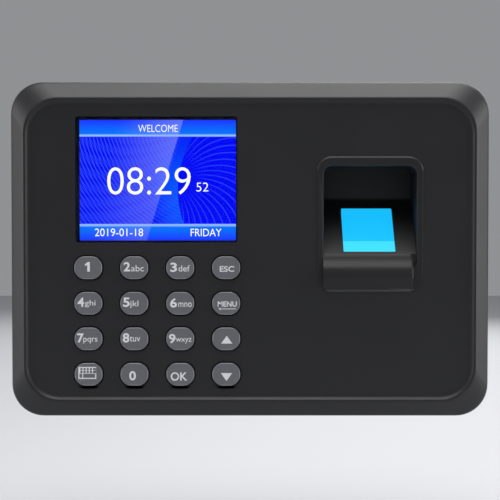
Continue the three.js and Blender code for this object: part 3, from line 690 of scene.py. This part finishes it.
# Sensor window: a ground glass prism let into the tilted floor and lit from below by blue LEDs. The band near
# its lower edge is where the prism's far face shows the light source itself, so it is paler.
GLASS_BLUE = (0.0094, 0.533, 1.0)
GLASS_DEEP = (0.0075, 0.50, 0.96)
GLASS_PALE = (0.056, 0.72, 1.0)
BAND_SHARE = 0.27                            # from the middle down to the pale band, as a share of the length


def maths(material, operation, *values):
    """One sum on sockets or plain numbers."""
    made = material.node_tree.nodes.new("ShaderNodeMath")
    made.operation = operation
    for slot, value in zip(made.inputs, values):
        if isinstance(value, bpy.types.NodeSocket):
            link(material, value, slot)
        else:
            slot.default_value = value
    return made.outputs[0]


glass_bm = bmesh.new()
glass_profile = eased([
    (GLASS_W, GLASS_L, 0.35, -2.0), (GLASS_W, GLASS_L, 0.35, -0.12),
    (GLASS_W - 0.5, GLASS_L - 0.5, 0.25, -0.12),
], [0.22], 3)
glass_rings = [[glass_bm.verts.new((x * MM, z * MM, d * MM)) for x, z in outline(w, h, r, steps=4)]
               for w, h, r, d in glass_profile]
capped(glass_bm, glass_rings)
seat_turn = Matrix.Rotation(math.pi / 2 - SEAT_TILT, 4, "X")
seat_spot = Matrix.Translation((INSERT_X * MM, -SEAT_OUT * MM, SEAT_Z * MM))
glass_bm.transform(seat_spot @ seat_turn)
glass_piece = solid(glass_bm, "sensor_glass_block")
glow, glow_shader = principled("lit_sensor_glass", (0.01, 0.10, 0.16), 0.08)
height = node(glow, "SeparateXYZ", Vector=node(glow, "TexCoord").outputs["Object"]).outputs["Z"]
band_top = (SEAT_Z - BAND_SHARE * GLASS_L * math.cos(SEAT_TILT)) * MM
band = maths(glow, "LESS_THAN", height, band_top)
cloud = colour_ramp(glow, pattern(glow, Scale=160.0, Detail=2.0), [(0, GLASS_DEEP), (1, GLASS_BLUE)])
link(glow, blended(glow, band, cloud, GLASS_PALE), glow_shader.inputs["Emission Color"])
glow_shader.inputs["Emission Strength"].default_value = 0.97
glow_shader.inputs["Specular IOR Level"].default_value = 0.12
finish_piece(glass_piece, glow, "terminal", ["sensor_window"])


# Display window: a flat clear acrylic plate that fills the opening, bonded behind the panel. A coating keeps
# reflections down. Its edges and a border on its back are printed black, so only the picture shows.
LIT_W = OPEN_W - 1.7
LIT_H = OPEN_H - 1.8
LIT_X = OPEN_X + 0.25
LIT_Z = OPEN_Z - 0.15
window_back = -window_high.y / MM
window_front = -window_low.y / MM
plate_bm = bmesh.new()
plate_profile = eased([
    (OPEN_W + 3.5, OPEN_H + 3.5, 1.5, window_back), (OPEN_W + 3.5, OPEN_H + 3.5, 1.5, window_back + 0.8),
    (OPEN_W - 0.3, OPEN_H - 0.3, 1.1, window_back + 0.8), (OPEN_W - 0.3, OPEN_H - 0.3, 1.1, window_front),
    (OPEN_W - 1.2, OPEN_H - 1.2, 0.7, window_front),
], [0, 0, 0.18], 3)
plate_rings = [ring(plate_bm, outline(w, h, r, OPEN_X, OPEN_Z, 4), d) for w, h, r, d in plate_profile]
capped(plate_bm, plate_rings)
plate = solid(plate_bm, "display_window_plate")
acrylic, acrylic_shader = principled("clear_acrylic", (1.0, 1.0, 1.0), 0.03)
acrylic_shader.inputs["IOR"].default_value = 1.08
acrylic_shader.inputs["Transmission Weight"].default_value = 1.0
acrylic_shader.inputs["Specular IOR Level"].default_value = 0.1
dust = node(acrylic, "TexNoise", Scale=90.0, Detail=4.0).outputs["Fac"]
uneven_gloss(acrylic, acrylic_shader, dust, 0.01, 0.025)
finish_piece(plate, acrylic, "terminal", ["display_window"])
border_ink = moulded("black_screen_ink", (0.002, 0.002, 0.002), 0.55, grain=0.04, wear=0)
plate.data.materials.append(border_ink)
for face in plate.data.polygons:
    face.material_index = 1 if abs(face.normal.y) < 0.3 else 0

print_bm = bmesh.new()
PRINT_BACK = window_back - 0.14
print_rings = [ring(print_bm, outline(w, h, r, x, z, 4), d) for w, h, r, x, z, d in (
    (OPEN_W + 3.3, OPEN_H + 3.3, 1.4, OPEN_X, OPEN_Z, PRINT_BACK),
    (OPEN_W + 3.3, OPEN_H + 3.3, 1.4, OPEN_X, OPEN_Z, window_back - 0.04),
    (LIT_W, LIT_H, 0.5, LIT_X, LIT_Z, window_back - 0.04),
    (LIT_W, LIT_H, 0.5, LIT_X, LIT_Z, PRINT_BACK),
)]
loft(print_bm, [*print_rings, print_rings[0]])
border = solid(print_bm, "window_black_print")
finish_piece(border, border_ink, "terminal")


# Liquid crystal display: a glass panel behind the window that glows with its own picture. Light bars close
# the blue picture above and below, fine curved lines cross it, and a slanting painted glare, a reflection
# painted into the picture, lies over its left half.
PICTURE_PLANE = -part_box("lcd_glass")[0].y / MM


picture, picture_shader = principled("lit_picture", (0.002, 0.002, 0.003), 0.25)
picture_shader.inputs["Specular IOR Level"].default_value = 0.02


def less(a, b):
    return maths(picture, "SUBTRACT", a, b)


def plus(a, b):
    return maths(picture, "ADD", a, b)


def times(*values):
    """The values multiplied together, from the left."""
    product = values[0]
    for value in values[1:]:
        product = maths(picture, "MULTIPLY", product, value)
    return product


def squared(a):
    return maths(picture, "POWER", a, 2.0)


def faded(value, low, high, start=0.0, end=1.0):
    """The value's place between two limits, eased and clamped."""
    made = node(picture, "MapRange", interpolation_type="SMOOTHSTEP", Value=value)
    for name, number in (("From Min", low), ("From Max", high), ("To Min", start), ("To Max", end)):
        made.inputs[name].default_value = number
    return made.outputs["Result"]


axes = node(picture, "SeparateXYZ", Vector=node(picture, "TexCoord").outputs["Object"])
left, foot = (LIT_X - LIT_W / 2) * MM, (LIT_Z - LIT_H / 2) * MM
across = maths(picture, "DIVIDE", less(axes.outputs["X"], left), LIT_W * MM)
up = maths(picture, "DIVIDE", less(axes.outputs["Z"], foot), LIT_H * MM)
DEEP_BLUE = (0.0005, 0.0022, 0.86)
BAR_BLUE = (0.0, 0.176, 0.92)
BAR_VIOLET = (0.010, 0.030, 0.98)
EDGE_LIGHT = (0.30, 0.50, 0.98)
WEDGE_BLUE = (0.0, 0.095, 0.97)
LINE_BLUE = (0.052, 0.135, 1.0)
# Colour of the painted glare: a reflection painted into the picture's glow.
PAINTED_GLARE_BLUE = (0.36, 0.42, 1.0)
layout = colour_ramp(picture, up, [
    (0.0, BAR_VIOLET), (0.112, BAR_BLUE), (0.126, EDGE_LIGHT), (0.132, EDGE_LIGHT), (0.140, DEEP_BLUE),
    (0.860, DEEP_BLUE), (0.866, EDGE_LIGHT), (0.873, EDGE_LIGHT), (0.884, BAR_BLUE), (1.0, BAR_VIOLET)])
middle = times(faded(up, 0.138, 0.142), faded(up, 0.862, 0.858))


def distance_from(u, v, stretch=0.77):
    """Distance on the picture from a point, in picture widths."""
    du, dv = less(across, u), times(less(up, v), stretch)
    return maths(picture, "SQRT", plus(squared(du), squared(dv))), du, dv


def fine_lines(value, count, thickness=0.35):
    """Thin soft lines where the value passes each of many even steps."""
    wave = maths(picture, "SINE", times(value, count * math.tau))
    return faded(wave, 1 - thickness * 2, 1.0)


# Two curves part the picture: the wedge's right edge, and the slant where the painted glare starts.
right_edge = plus(times(squared(less(up, 0.42)), 0.48), 0.628)
before_edge = less(right_edge, across)
before_painted_glare = less(plus(times(up, 0.234), 0.430), across)
left_side = faded(before_edge, -0.002, 0.002)
ring_far, ring_near = distance_from(0.98, 1.10)[0], distance_from(0.80, 1.22)[0]
arcs = maths(picture, "MAXIMUM", fine_lines(ring_far, 43), times(fine_lines(ring_near, 50), 0.6))
arcs = times(arcs, maths(picture, "MAXIMUM", faded(before_painted_glare, -0.03, 0.01), faded(up, 0.5, 0.3, 0.0, 0.6)))
fan_reach, fan_u, fan_v = distance_from(0.60, 0.52)
bent = plus(maths(picture, "ARCTAN2", fan_v, fan_u), times(squared(fan_reach), 1.5))
fan = times(fine_lines(bent, 8.0, 0.13), faded(fan_reach, 0.08, 0.22, 0.0, 0.6))
lines = times(plus(times(arcs, left_side), times(fan, less(1.0, left_side))), middle, 0.5)
wedge = times(faded(before_edge, 0.22, 0.0), left_side, middle, faded(up, 0.85, 0.45, 0.25, 1.0), 0.85)
# The painted glare: a paler reflection painted into the picture's glow, strongest along the slant and fading
# leftwards and downwards.
painted_glare = times(faded(before_painted_glare, 0.0, 0.003), faded(before_painted_glare, 0.44, -0.06, 0.0, 0.31),
              faded(up, 0.0, 1.0, 0.5, 1.0))
scene_colour = layout
for share, tint in ((wedge, WEDGE_BLUE), (lines, LINE_BLUE), (painted_glare, PAINTED_GLARE_BLUE)):
    scene_colour = blended(picture, share, scene_colour, tint)
normal = node(picture, "SeparateXYZ", Vector=node(picture, "NewGeometry").outputs["Normal"])
front_only = maths(picture, "LESS_THAN", normal.outputs["Y"], -0.9)
for value in (across, up):
    reach = maths(picture, "ABSOLUTE", less(value, 0.5))
    front_only = times(front_only, maths(picture, "LESS_THAN", reach, 0.501))
link(picture, scene_colour, picture_shader.inputs["Emission Color"])
link(picture, times(front_only, 1.05), picture_shader.inputs["Emission Strength"])


def dress(material, *names, edge=0):
    """Gives designed parts that keep their own shape their finish, and rounds their edges over by a hair."""
    for name in names:
        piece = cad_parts[name]
        piece.data.materials.clear()
        piece.data.materials.append(material)
        if edge:
            break_edges(piece, edge)


def break_edges(piece, width):
    weld = piece.modifiers.new("weld", "WELD")
    weld.merge_threshold = 1e-6
    bevel = piece.modifiers.new("edge", "BEVEL")
    bevel.width = width * MM
    bevel.segments = 2
    bevel.limit_method = "ANGLE"
    bevel.angle_limit = math.radians(40)
    even = piece.modifiers.new("even", "WEIGHTED_NORMAL")
    even.weight = 90
    for face in piece.data.polygons:
        face.use_smooth = True


dress(picture, "lcd_glass")


def lettering(text, thickness, weight=0.0):
    """The built-in font's letters as thin solids, one unit high, with their lowest and highest corners."""
    curve = bpy.data.curves.new("letters", "FONT")
    curve.body = text
    curve.extrude = thickness / 2
    curve.offset = weight
    curve.resolution_u = 5
    holder = place("letters", curve)
    bpy.context.view_layer.update()
    mesh = bpy.data.meshes.new_from_object(holder.evaluated_get(bpy.context.evaluated_depsgraph_get()))
    bpy.data.objects.remove(holder)
    bm = bmesh.new()
    bm.from_mesh(mesh)
    bmesh.ops.remove_doubles(bm, verts=bm.verts, dist=1e-5)
    low = [min(v.co[i] for v in bm.verts) for i in range(2)]
    high = [max(v.co[i] for v in bm.verts) for i in range(2)]
    return bm, low, high


def fitted(sheet, text, x0, x1, z0, z1, depth, thickness, weight=0.0):
    """Letters stretched to fill a box, standing on a plane that faces forwards, added to one sheet."""
    bm, low, high = lettering(text, 1.0, weight)
    scale_x, scale_z = (x1 - x0) / (high[0] - low[0]), (z1 - z0) / (high[1] - low[1])
    for vert in bm.verts:
        x, z, out = vert.co
        vert.co = Vector(((x0 + (x - low[0]) * scale_x) * MM, -(depth + (out + 0.5) * thickness) * MM,
                          (z0 + (z - low[1]) * scale_z) * MM))
    mesh = bpy.data.meshes.new("letters")
    bm.to_mesh(mesh)
    bm.free()
    sheet.from_mesh(mesh)


CHARACTER_OUT = PICTURE_PLANE + 0.02
sheet = bmesh.new()
for text, x0, x1, z0, z1, weight in (
        ("08:29", 0.176, 0.710, 0.381, 0.608, -0.009), ("52", 0.747, 0.824, 0.407, 0.481, -0.010),
        ("2019-01-18", 0.096, 0.405, 0.035, 0.099, -0.003), ("FRIDAY", 0.710, 0.907, 0.035, 0.097, -0.002),
        ("WELCOME", 0.375, 0.628, 0.900, 0.960, -0.006)):
    fitted(sheet, text, left / MM + x0 * LIT_W, left / MM + x1 * LIT_W, foot / MM + z0 * LIT_H,
           foot / MM + z1 * LIT_H, CHARACTER_OUT, 0.03, weight)
characters = cast(sheet, "lcd_characters")
character_white, white_shader = principled("lit_characters", (0.05, 0.05, 0.05), 0.4)
flicker = pattern(character_white, Scale=900.0, Detail=1.0)
warm = colour_ramp(character_white, flicker, [(0.0, (0.90, 0.93, 1.0)), (1.0, (1.0, 1.0, 1.0))])
link(character_white, warm, white_shader.inputs["Emission Color"])
white_shader.inputs["Emission Strength"].default_value = 1.05
finish_piece(characters, character_white, "terminal")


# Keys: sixteen hard caps moulded in dark grey, fused to the rubber mat behind the panel. Each cap has a
# finely grained face, a rounded rim polished by the mould and fingers, and a printed off-white legend.
# Below the panel each cap's root is near-black, partly as a black flange and partly as painted shade in the
# gap round the key.
KEY_LOW = -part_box("key_1")[1].y / MM
KEY_FRONT = -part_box("key_1")[0].y / MM
KEY_STEP = KEY_LOW + 0.9
LEGEND_RISE, LEGEND_SINK = 0.03, 0.055
RIM_FROM_X, RIM_FROM_Z, RIM_DEPTH = 0.472, 0.466, 0.24     # where the polished rim starts, across and back

key_face = moulded("key_grey_face", (0.142, 0.144, 0.158), 0.55, grain=0.35, sheen_variation=0.05, wear=0)
key_rim = moulded("key_polished_rim", (0.27, 0.27, 0.285), 0.36, grain=0.05, sheen_variation=0.04, wear=0)
# The root below the panel: near-black, partly a black flange and partly painted shade in the gap round the
# key.
key_root_and_gap_shade = moulded("key_black_root_and_painted_shade", (0.006, 0.006, 0.0065), 0.7, grain=0.10, sheen_variation=0.03)
legend_ink, legend_shader = principled("legend_off_white", (0.82, 0.82, 0.85), 0.5)
screen_print = pattern(legend_ink, Scale=3200.0, Detail=2.0)
link(legend_ink, colour_ramp(legend_ink, screen_print, [
    (0.35, (0.70, 0.70, 0.74)), (0.65, (0.90, 0.90, 0.93))]), legend_shader.inputs["Base Color"])
relief(legend_ink, legend_shader, screen_print, 0.2, 0.00002)


def key_cap(name, x, z):
    bm = bmesh.new()
    w, h, r, front = KEY_W, KEY_H, KEY_R, KEY_FRONT
    profile = eased([
        (w + 1.7, h + 1.7, r + 0.85, KEY_LOW), (w + 1.7, h + 1.7, r + 0.85, KEY_STEP),
        (w, h, r, KEY_STEP), (w, h, r, front - 0.18), (w - 0.38, h - 0.38, r - 0.19, front),
        (w - 0.62, h - 0.62, r - 0.31, front - 0.03), (w - 1.2, h - 1.2, r - 0.6, front - 0.06),
    ], [0.15, 0.2, 0.16, 0.12, 0.08], 3)
    rings = [ring(bm, outline(a, b, c, x, z, 9), d) for a, b, c, d in profile]
    loft(bm, rings)
    fill(bm, rings[-1])
    fill(bm, rings[0])
    cap = solid(bm, name + "_cap", 34)
    cap.data.materials.clear()
    for material in (key_face, key_rim, key_root_and_gap_shade):
        cap.data.materials.append(material)
    for face in cap.data.polygons:
        out = -face.center.y / MM
        corners = [cap.data.vertices[i].co / MM for i in face.vertices]
        at_rim = (max(abs(c.x - x) for c in corners) / w > RIM_FROM_X
                  or max(abs(c.z - z) for c in corners) / h > RIM_FROM_Z)
        face.material_index = 2 if out < PANEL_FRONT - 0.6 else 1 if out > front - RIM_DEPTH and at_rim else 0
    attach(cap, name)
    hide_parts(name)
    return cap


def legend(name, x, z, marks):
    """Printed marks, each a text with its left, right, foot and head from the key's middle, or outlines."""
    bm = bmesh.new()
    plane = KEY_FRONT - LEGEND_SINK
    for mark in marks:
        if isinstance(mark, tuple):
            text, x0, x1, z0, z1, weight = mark
            fitted(bm, text, x + x0, x + x1, z + z0, z + z1, plane, LEGEND_RISE, weight)
        else:
            for loop in mark:
                backs = [bm.verts.new(((x + px) * MM, -plane * MM, (z + pz) * MM)) for px, pz in loop]
                fronts = [bm.verts.new((v.co.x, v.co.y - LEGEND_RISE * MM, v.co.z)) for v in backs]
                capped(bm, [backs, fronts])
    piece = cast(bm, name + "_legend")
    piece.data.materials.append(legend_ink)
    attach(piece, name)


BOLD = 0.026
LIGHT = 0.004


def digit(figure, x, z, width=2.5, height=3.5):
    return (figure, x - width / 2, x + width / 2, z - height / 2, z + height / 2, BOLD)


def bars(x0, x1, z0, z1):
    return [(x0, z0), (x1, z0), (x1, z1), (x0, z1)]


def square_ring(x0, x1, z0, z1, line):
    return [bars(x0, x1, z1 - line, z1), bars(x0, x1, z0, z0 + line),
            bars(x0, x0 + line, z0 + line, z1 - line), bars(x1 - line, x1, z0 + line, z1 - line)]


keyboard_icon = square_ring(-3.8, 2.9, -1.7, 2.8, 0.42)
for row_z in (1.62, 0.42):
    keyboard_icon += [bars(-3.38, 2.48, row_z - 0.16, row_z + 0.02)]
for column in range(6):
    post_x = -3.38 + column * 1.172
    keyboard_icon += [bars(post_x - 0.02, post_x + 0.34, *rows) for rows in ((0.44, 1.46), (1.64, 2.38))]
keyboard_icon += [bars(-2.35, -2.0, -1.28, 0.26)]
LEGENDS = {
    "key_1": [[[(-0.34, -1.42), (0.62, -1.42), (0.62, 2.15), (-0.2, 2.15), (-1.2, 1.35), (-1.2, 0.6),
                (-0.34, 1.05)]]],
    "key_2": [digit("2", -2.7, 0.4), ("abc", -1.1, 3.6, -1.35, 1.0, LIGHT)],
    "key_3": [digit("3", -2.45, 0.2), ("def", -0.6, 3.6, -1.4, 0.95, LIGHT)],
    "key_esc": [("ESC", -2.4, 3.0, -1.5, 0.65, 0.02)],
    "key_4": [digit("4", -2.8, 0.45), ("ghi", -1.3, 2.7, -1.45, 1.25, LIGHT)],
    "key_5": [digit("5", -2.95, 0.45), ("jkl", -1.65, 1.55, -1.75, 1.05, LIGHT)],
    "key_6": [digit("6", -2.5, 0.2), ("mno", -0.7, 4.3, -1.35, 0.35, LIGHT)],
    "key_menu": [("MENU", -3.15, 3.95, -1.25, 0.75, 0.02),
                 [bars(-2.2, 3.7, -2.2, -1.95), [(-2.9, -2.07), (-1.9, -2.55), (-1.9, -1.6)]]],
    "key_7": [digit("7", -2.95, 0.3), ("pqrs", -1.9, 3.4, -1.75, 0.45, LIGHT)],
    "key_8": [digit("8", -3.1, 0.4), ("tuv", -1.7, 2.2, -1.0, 1.0, LIGHT)],
    "key_9": [digit("9", -3.0, 0.1), ("wxyz", -1.65, 4.2, -1.75, 0.3, LIGHT)],
    "key_up": [[[(-1.9, -1.75), (2.3, -1.75), (0.2, 1.2)]]],
    "key_keyboard": [keyboard_icon],
    "key_0": [digit("0", -0.7, -0.5)],
    "key_ok": [("OK", -3.6, 2.6, -2.35, 0.8, 0.018)],
    "key_down": [[[(-2.0, 0.5), (0.1, -2.5), (2.2, 0.5)]]],
}
for key in KEYS:
    middle = node_middle(key)
    key_cap(key, middle.x, middle.z)
    legend(key, middle.x, middle.z, LEGENDS[key])


# Rear cover: a shallow tray moulded in matt black, screwed to the front cover from behind. Its floor carries
# the four hook slots, the cable entry, the speaker grille and the sunk holes for the cover screws.
rear_low, rear_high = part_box("rear_cover")
REAR_W = (rear_high.x - rear_low.x) / MM
REAR_H = (rear_high.z - rear_low.z) / MM
REAR_BACK = -rear_high.y / MM
REAR_FRONT = -rear_low.y / MM
REAR_WALL = 2.2
REAR_R = 9.0
SLOT_X = 22.0
SLOT_ROWS = (26.0, -30.0)
SLOT_HALF, SLOT_DOWN, SLOT_UP = 4.4, 9.25, 1.05
SCREW_X = 80.0
SCREW_Z = 53.0
WELL_R, WELL_DEPTH, SCREW_BORE = 2.9, 1.2, 1.55
LEAD_IN = 0.25                               # how deep the openings' broken edges go
speaker = node_middle("speaker_cone")
GRILLE_PITCH = 3.4
GRILLE_SLIT = 1.6
GRILLE_HALF = 9.0

rear_bm = bmesh.new()
rear_profile = eased([
    (REAR_W - 4.6, REAR_H - 4.6, REAR_R - 2.3, REAR_BACK), (REAR_W - 4, REAR_H - 4, REAR_R - 2, REAR_BACK),
    (REAR_W, REAR_H, REAR_R, REAR_BACK + 2.0), (REAR_W, REAR_H, REAR_R, REAR_FRONT),
    (REAR_W - 2 * REAR_WALL, REAR_H - 2 * REAR_WALL, REAR_R - REAR_WALL, REAR_FRONT),
    (REAR_W - 2 * REAR_WALL, REAR_H - 2 * REAR_WALL, REAR_R - REAR_WALL, REAR_BACK + REAR_WALL),
], [0.25, 0.8, 0.3, 0.2], 3)
rear_rings = [ring(rear_bm, outline(w, h, r), d) for w, h, r, d in rear_profile]
loft(rear_bm, rear_rings)


def stadium(x0, x1, z0, z1, radius, steps=5):
    return outline(x1 - x0, z1 - z0, radius, (x0 + x1) / 2, (z0 + z1) / 2, steps)


rear_openings = [(stadium(-8, 8, -42, -32, 1.0), None)]
for slot_z in SLOT_ROWS:
    for slot_x in (-SLOT_X, SLOT_X):
        rear_openings.append((stadium(slot_x - SLOT_HALF, slot_x + SLOT_HALF, slot_z - SLOT_DOWN,
                                      slot_z + SLOT_UP, 0.6), None))
for i in range(-2, 3):
    half = GRILLE_HALF - abs(i)
    slit_z = speaker.z + i * GRILLE_PITCH
    rear_openings.append((stadium(speaker.x - half, speaker.x + half, slit_z - GRILLE_SLIT / 2,
                                  slit_z + GRILLE_SLIT / 2, GRILLE_SLIT / 2 - 0.01), None))
for screw_x in (-SCREW_X, SCREW_X):
    for screw_z in (-SCREW_Z, SCREW_Z):
        rear_openings.append((stadium(screw_x - WELL_R, screw_x + WELL_R, screw_z - WELL_R, screw_z + WELL_R,
                                      WELL_R - 0.01, 9), SCREW_BORE))
outside_loops, inside_loops = [rear_rings[0]], [rear_rings[-1]]
for shape, bore in rear_openings:
    centre_x, centre_z = ((max(values) + min(values)) / 2 for values in zip(*shape))
    wide = [(centre_x + (x - centre_x) * (1 + 0.5 / max(1, abs(x - centre_x))),
             centre_z + (z - centre_z) * (1 + 0.5 / max(1, abs(z - centre_z)))) for x, z in shape]
    hole = [ring(rear_bm, wide, REAR_BACK), ring(rear_bm, shape, REAR_BACK + LEAD_IN)]
    if bore:
        small = [(centre_x + (x - centre_x) * bore / WELL_R, centre_z + (z - centre_z) * bore / WELL_R)
                 for x, z in shape]
        hole += [ring(rear_bm, points, REAR_BACK + WELL_DEPTH) for points in (shape, small)]
        shape = small
    hole.append(ring(rear_bm, shape, REAR_BACK + REAR_WALL))
    loft(rear_bm, hole)
    outside_loops.append(hole[0])
    inside_loops.append(hole[-1])
fill(rear_bm, *outside_loops)
fill(rear_bm, *inside_loops)
rear_cover = solid(rear_bm, "rear_tray")
cut_sockets(rear_cover, 4, 4.4)
REAR_BLACK = (0.017, 0.017, 0.018)
rear_plastic = moulded("rear_matt_black", REAR_BLACK, 0.58, grain=0.30)
finish_piece(rear_cover, rear_plastic, "terminal", ["rear_cover"])
unrubbed(rear_cover, moulded("rear_floor_black", REAR_BLACK, 0.58, grain=0.30, wear=0), REAR_BACK)


# Wall plate: zinc-plated steel sheet, punched and pressed, with four hooks bent out of it. Wall screws go
# through its corner holes, and the terminal hangs on the hooks.
ZINC = (0.50, 0.51, 0.53)


def plated(name, colour, roughness, streak=(1.0, 1.0, 9.0), scale=260.0, spread=0.09, depth=0.05):
    """Bare or plated metal: long rolling streaks in its gloss, a faint mottling and hair scratches."""
    material, shader = principled(name, colour, roughness, 1.0)
    lay = node(material, "Mapping", Vector=node(material, "TexCoord").outputs["Object"], Scale=streak)
    hair = pattern(material, vector=lay.outputs["Vector"], Scale=scale, Detail=6.0, Roughness=0.7)
    cloud = pattern(material, Scale=70.0, Detail=4.0, Roughness=0.6)
    tone = colour_ramp(material, cloud, list(zip((0.3, 0.7), shades(colour, 0.82, 1.1))))
    link(material, tone, shader.inputs["Base Color"])
    uneven_gloss(material, shader, hair, roughness - spread, roughness + spread)
    relief(material, shader, hair, depth, 0.00005)
    return material


dress(plated("zinc_plated_sheet", ZINC, 0.42), "wall_plate", edge=0.25)

# Cover screws: four black-passivated steel pan heads with a cross recess. They are sunk in the rear cover and
# hold the two covers together.
SHANK_R, THREAD, THREAD_PITCH = 1.2, 0.24, 0.5
RECESS = (0.34, 1.45)                        # half the width and half the length of the cross's arms
blackened = plated("black_passivated_steel", (0.075, 0.075, 0.08), 0.36, (1.0, 1.0, 1.0), 900.0, 0.08, 0.08)


def cross_screw(name, label):
    """A pan head with its cross recess, and its shank with a turned thread."""
    middle, size = node_middle(name), node_size(name)
    low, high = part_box(name)
    back, front = -high.y / MM, -low.y / MM
    head, shank = size.x / 2, SHANK_R
    bm = bmesh.new()
    profile = [(head * 0.45, back), (head * 0.74, back + 0.07), (head * 0.92, back + 0.28),
               (head, back + 0.7), (head, back + 1.9), (head - 0.1, back + 2.0), (shank, back + 2.0)]
    depth = back + 2.6
    while depth < front - 1.6:
        profile += [(shank - THREAD, depth), (shank, depth + 0.22), (shank - THREAD, depth + 0.44)]
        depth += THREAD_PITCH
    profile += [(shank - 0.3, front - 1.0), (0.35, front - 0.05)]
    rings = [ring(bm, outline(2 * r, 2 * r, r - 0.001, middle.x, middle.z, 6), d) for r, d in profile]
    loft(bm, rings)
    fill(bm, rings[0])
    fill(bm, rings[-1])
    screw = solid(bm, label)
    for wide, tall in (RECESS, RECESS[::-1]):
        combine(screw, block(middle.x - wide, middle.x + wide, back - 1, back + 1.1,
                             middle.z - tall, middle.z + tall))
    finish_piece(screw, blackened, "terminal", [name])


for i in range(4):
    cross_screw(f"cover_screw_{i + 1}", f"rear_screw_{i + 1}")

# Board and sensor screws: small zinc-plated pan heads of turned steel. Four hold the main board to posts in
# the front cover, and two go through the ears of the sensor's body behind the seat.
dress(plated("zinc_plated_screw", (0.55, 0.56, 0.58), 0.34, (1.0, 1.0, 1.0), 1400.0, 0.08, 0.08),
      *[f"board_screw_{i + 1}" for i in range(4)], "sensor_screw_1", "sensor_screw_2")


# Display module: a pressed tin tray round the panel, a closed-cell foam gasket that seals it to the window,
# and an amber ribbon of film down to the main board.
dress(plated("tinned_sheet", (0.56, 0.57, 0.58), 0.36, (9.0, 1.0, 1.0), 300.0), "lcd_frame", edge=0.12)


def foamed(name, colour, cells, depth):
    """Closed-cell foam or soft rubber: matt, with an open pattern of tiny round cells."""
    material, shader = principled(name, colour, 0.92)
    shader.inputs["Specular IOR Level"].default_value = 0.18
    cell = pattern(material, "Voronoi", "Distance", Scale=cells)
    tone = colour_ramp(material, cell, list(enumerate(shades(colour, 0.7, 1.35))))
    link(material, tone, shader.inputs["Base Color"])
    relief(material, shader, cell, depth, 0.0001)
    return material


dress(foamed("black_foam", (0.016, 0.016, 0.017), 3200.0, 0.5), "display_gasket")


def tracked(name, film, copper, pitch, roughness):
    """Film or laminate with etched copper tracks showing under its cover coat."""
    material, shader = principled(name, film, roughness)
    wander = pattern(material, Scale=45.0, Detail=1.0)
    along = pattern(material, "Wave", Scale=pitch, Distortion=2.5, Detail=0.0, bands_direction="X")
    etched = colour_ramp(material, along, [(0.52, film), (0.60, copper)])
    reach = colour_ramp(material, wander, [(0.42, (0, 0, 0)), (0.46, (1, 1, 1))])
    link(material, blended(material, reach, film, etched), shader.inputs["Base Color"])
    relief(material, shader, along, 0.12, 0.00003)
    return material


dress(tracked("amber_film", (0.36, 0.15, 0.03), (0.62, 0.30, 0.10), 420.0, 0.30), "lcd_flex")

# Keypad mat: one moulded sheet of translucent grey silicone with a sprung dome under each key. It carries the
# caps and is laid on the main board.
silicone = foamed("grey_silicone", (0.38, 0.39, 0.40), 5200.0, 0.08)
silicone_shader = next(n for n in silicone.node_tree.nodes if n.type == "BSDF_PRINCIPLED")
silicone_shader.inputs["Subsurface Weight"].default_value = 0.25
silicone_shader.inputs["Subsurface Scale"].default_value = 0.002
dress(silicone, "keypad_mat")

# Main board: glass-fibre laminate under green solder mask. It carries the two epoxy-moulded chips, the canned
# crystal, the sleeved capacitor, the ferrite-cored inductor and the clock cell in its nylon holder.
dress(tracked("green_board", (0.012, 0.105, 0.045), (0.03, 0.20, 0.075), 130.0, 0.34),
      "main_board", "sensor_board")
dress(moulded("chip_epoxy", (0.014, 0.014, 0.015), 0.62, grain=0.35, wear=0),
      "processor_chip", "memory_chip", edge=0.12)
dress(plated("nickel_can", (0.60, 0.59, 0.56), 0.24, (6.0, 1.0, 1.0), 420.0), "crystal_can")
dress(plated("capacitor_sleeve", (0.34, 0.35, 0.37), 0.34, (1.0, 9.0, 1.0), 400.0), "capacitor")
dress(moulded("ferrite", (0.045, 0.044, 0.044), 0.55, grain=0.5, wear=0.2), "inductor")
dress(moulded("black_nylon", (0.020, 0.020, 0.021), 0.5, grain=0.25), "battery_holder", "dc_jack", edge=0.2)
dress(plated("cell_steel", (0.62, 0.62, 0.61), 0.22, (14.0, 1.0, 1.0), 380.0, 0.07, 0.03),
      "coin_cell", edge=0.3)

# Fingerprint sensor: a black moulded block under the window, with the imaging lens in its back and its own
# small board on it. A sleeved cable with a nylon plug takes it to the main board.
dress(moulded("sensor_housing_black", (0.012, 0.012, 0.013), 0.52, grain=0.2), "sensor_body", edge=0.15)
lens_glass, lens_shader = principled("coated_lens_glass", (0.10, 0.07, 0.16), 0.06)
uneven_gloss(lens_glass, lens_shader, pattern(lens_glass, Scale=500.0, Detail=4.0), 0.03, 0.12)
lens_shader.inputs["Coat Weight"].default_value = 0.8
dress(lens_glass, "sensor_lens")
dress(moulded("cable_sleeve", (0.022, 0.022, 0.024), 0.45, grain=0.3, wear=0), "sensor_cable", "speaker_lead")
dress(moulded("cream_nylon", (0.62, 0.59, 0.48), 0.48, grain=0.2, wear=0),
      "sensor_connector", "speaker_connector", "usb_tongue", edge=0.15)

# Speaker: a pressed tin basket with a black paper cone and a ring magnet, held behind the grille by a moulded
# ring in the rear cover.
dress(plated("tinned_basket", (0.50, 0.51, 0.52), 0.38, (1.0, 1.0, 9.0), 300.0), "speaker_frame", edge=0.15)
dress(foamed("cone_paper", (0.020, 0.019, 0.018), 2600.0, 0.35), "speaker_cone")
dress(moulded("magnet_ferrite", (0.060, 0.061, 0.064), 0.5, grain=0.45, wear=0.25),
      "speaker_magnet", edge=0.3)

# Sockets in the lower edge: a folded nickel-plated USB shell round its nylon tongue, and the turned centre
# pin of the power inlet. Both are soldered to the main board.
nickel = plated("nickel_shell", (0.62, 0.60, 0.56), 0.26, (1.0, 1.0, 7.0), 420.0)
dress(nickel, "usb_shell", edge=0.12)
dress(nickel, "dc_pin")
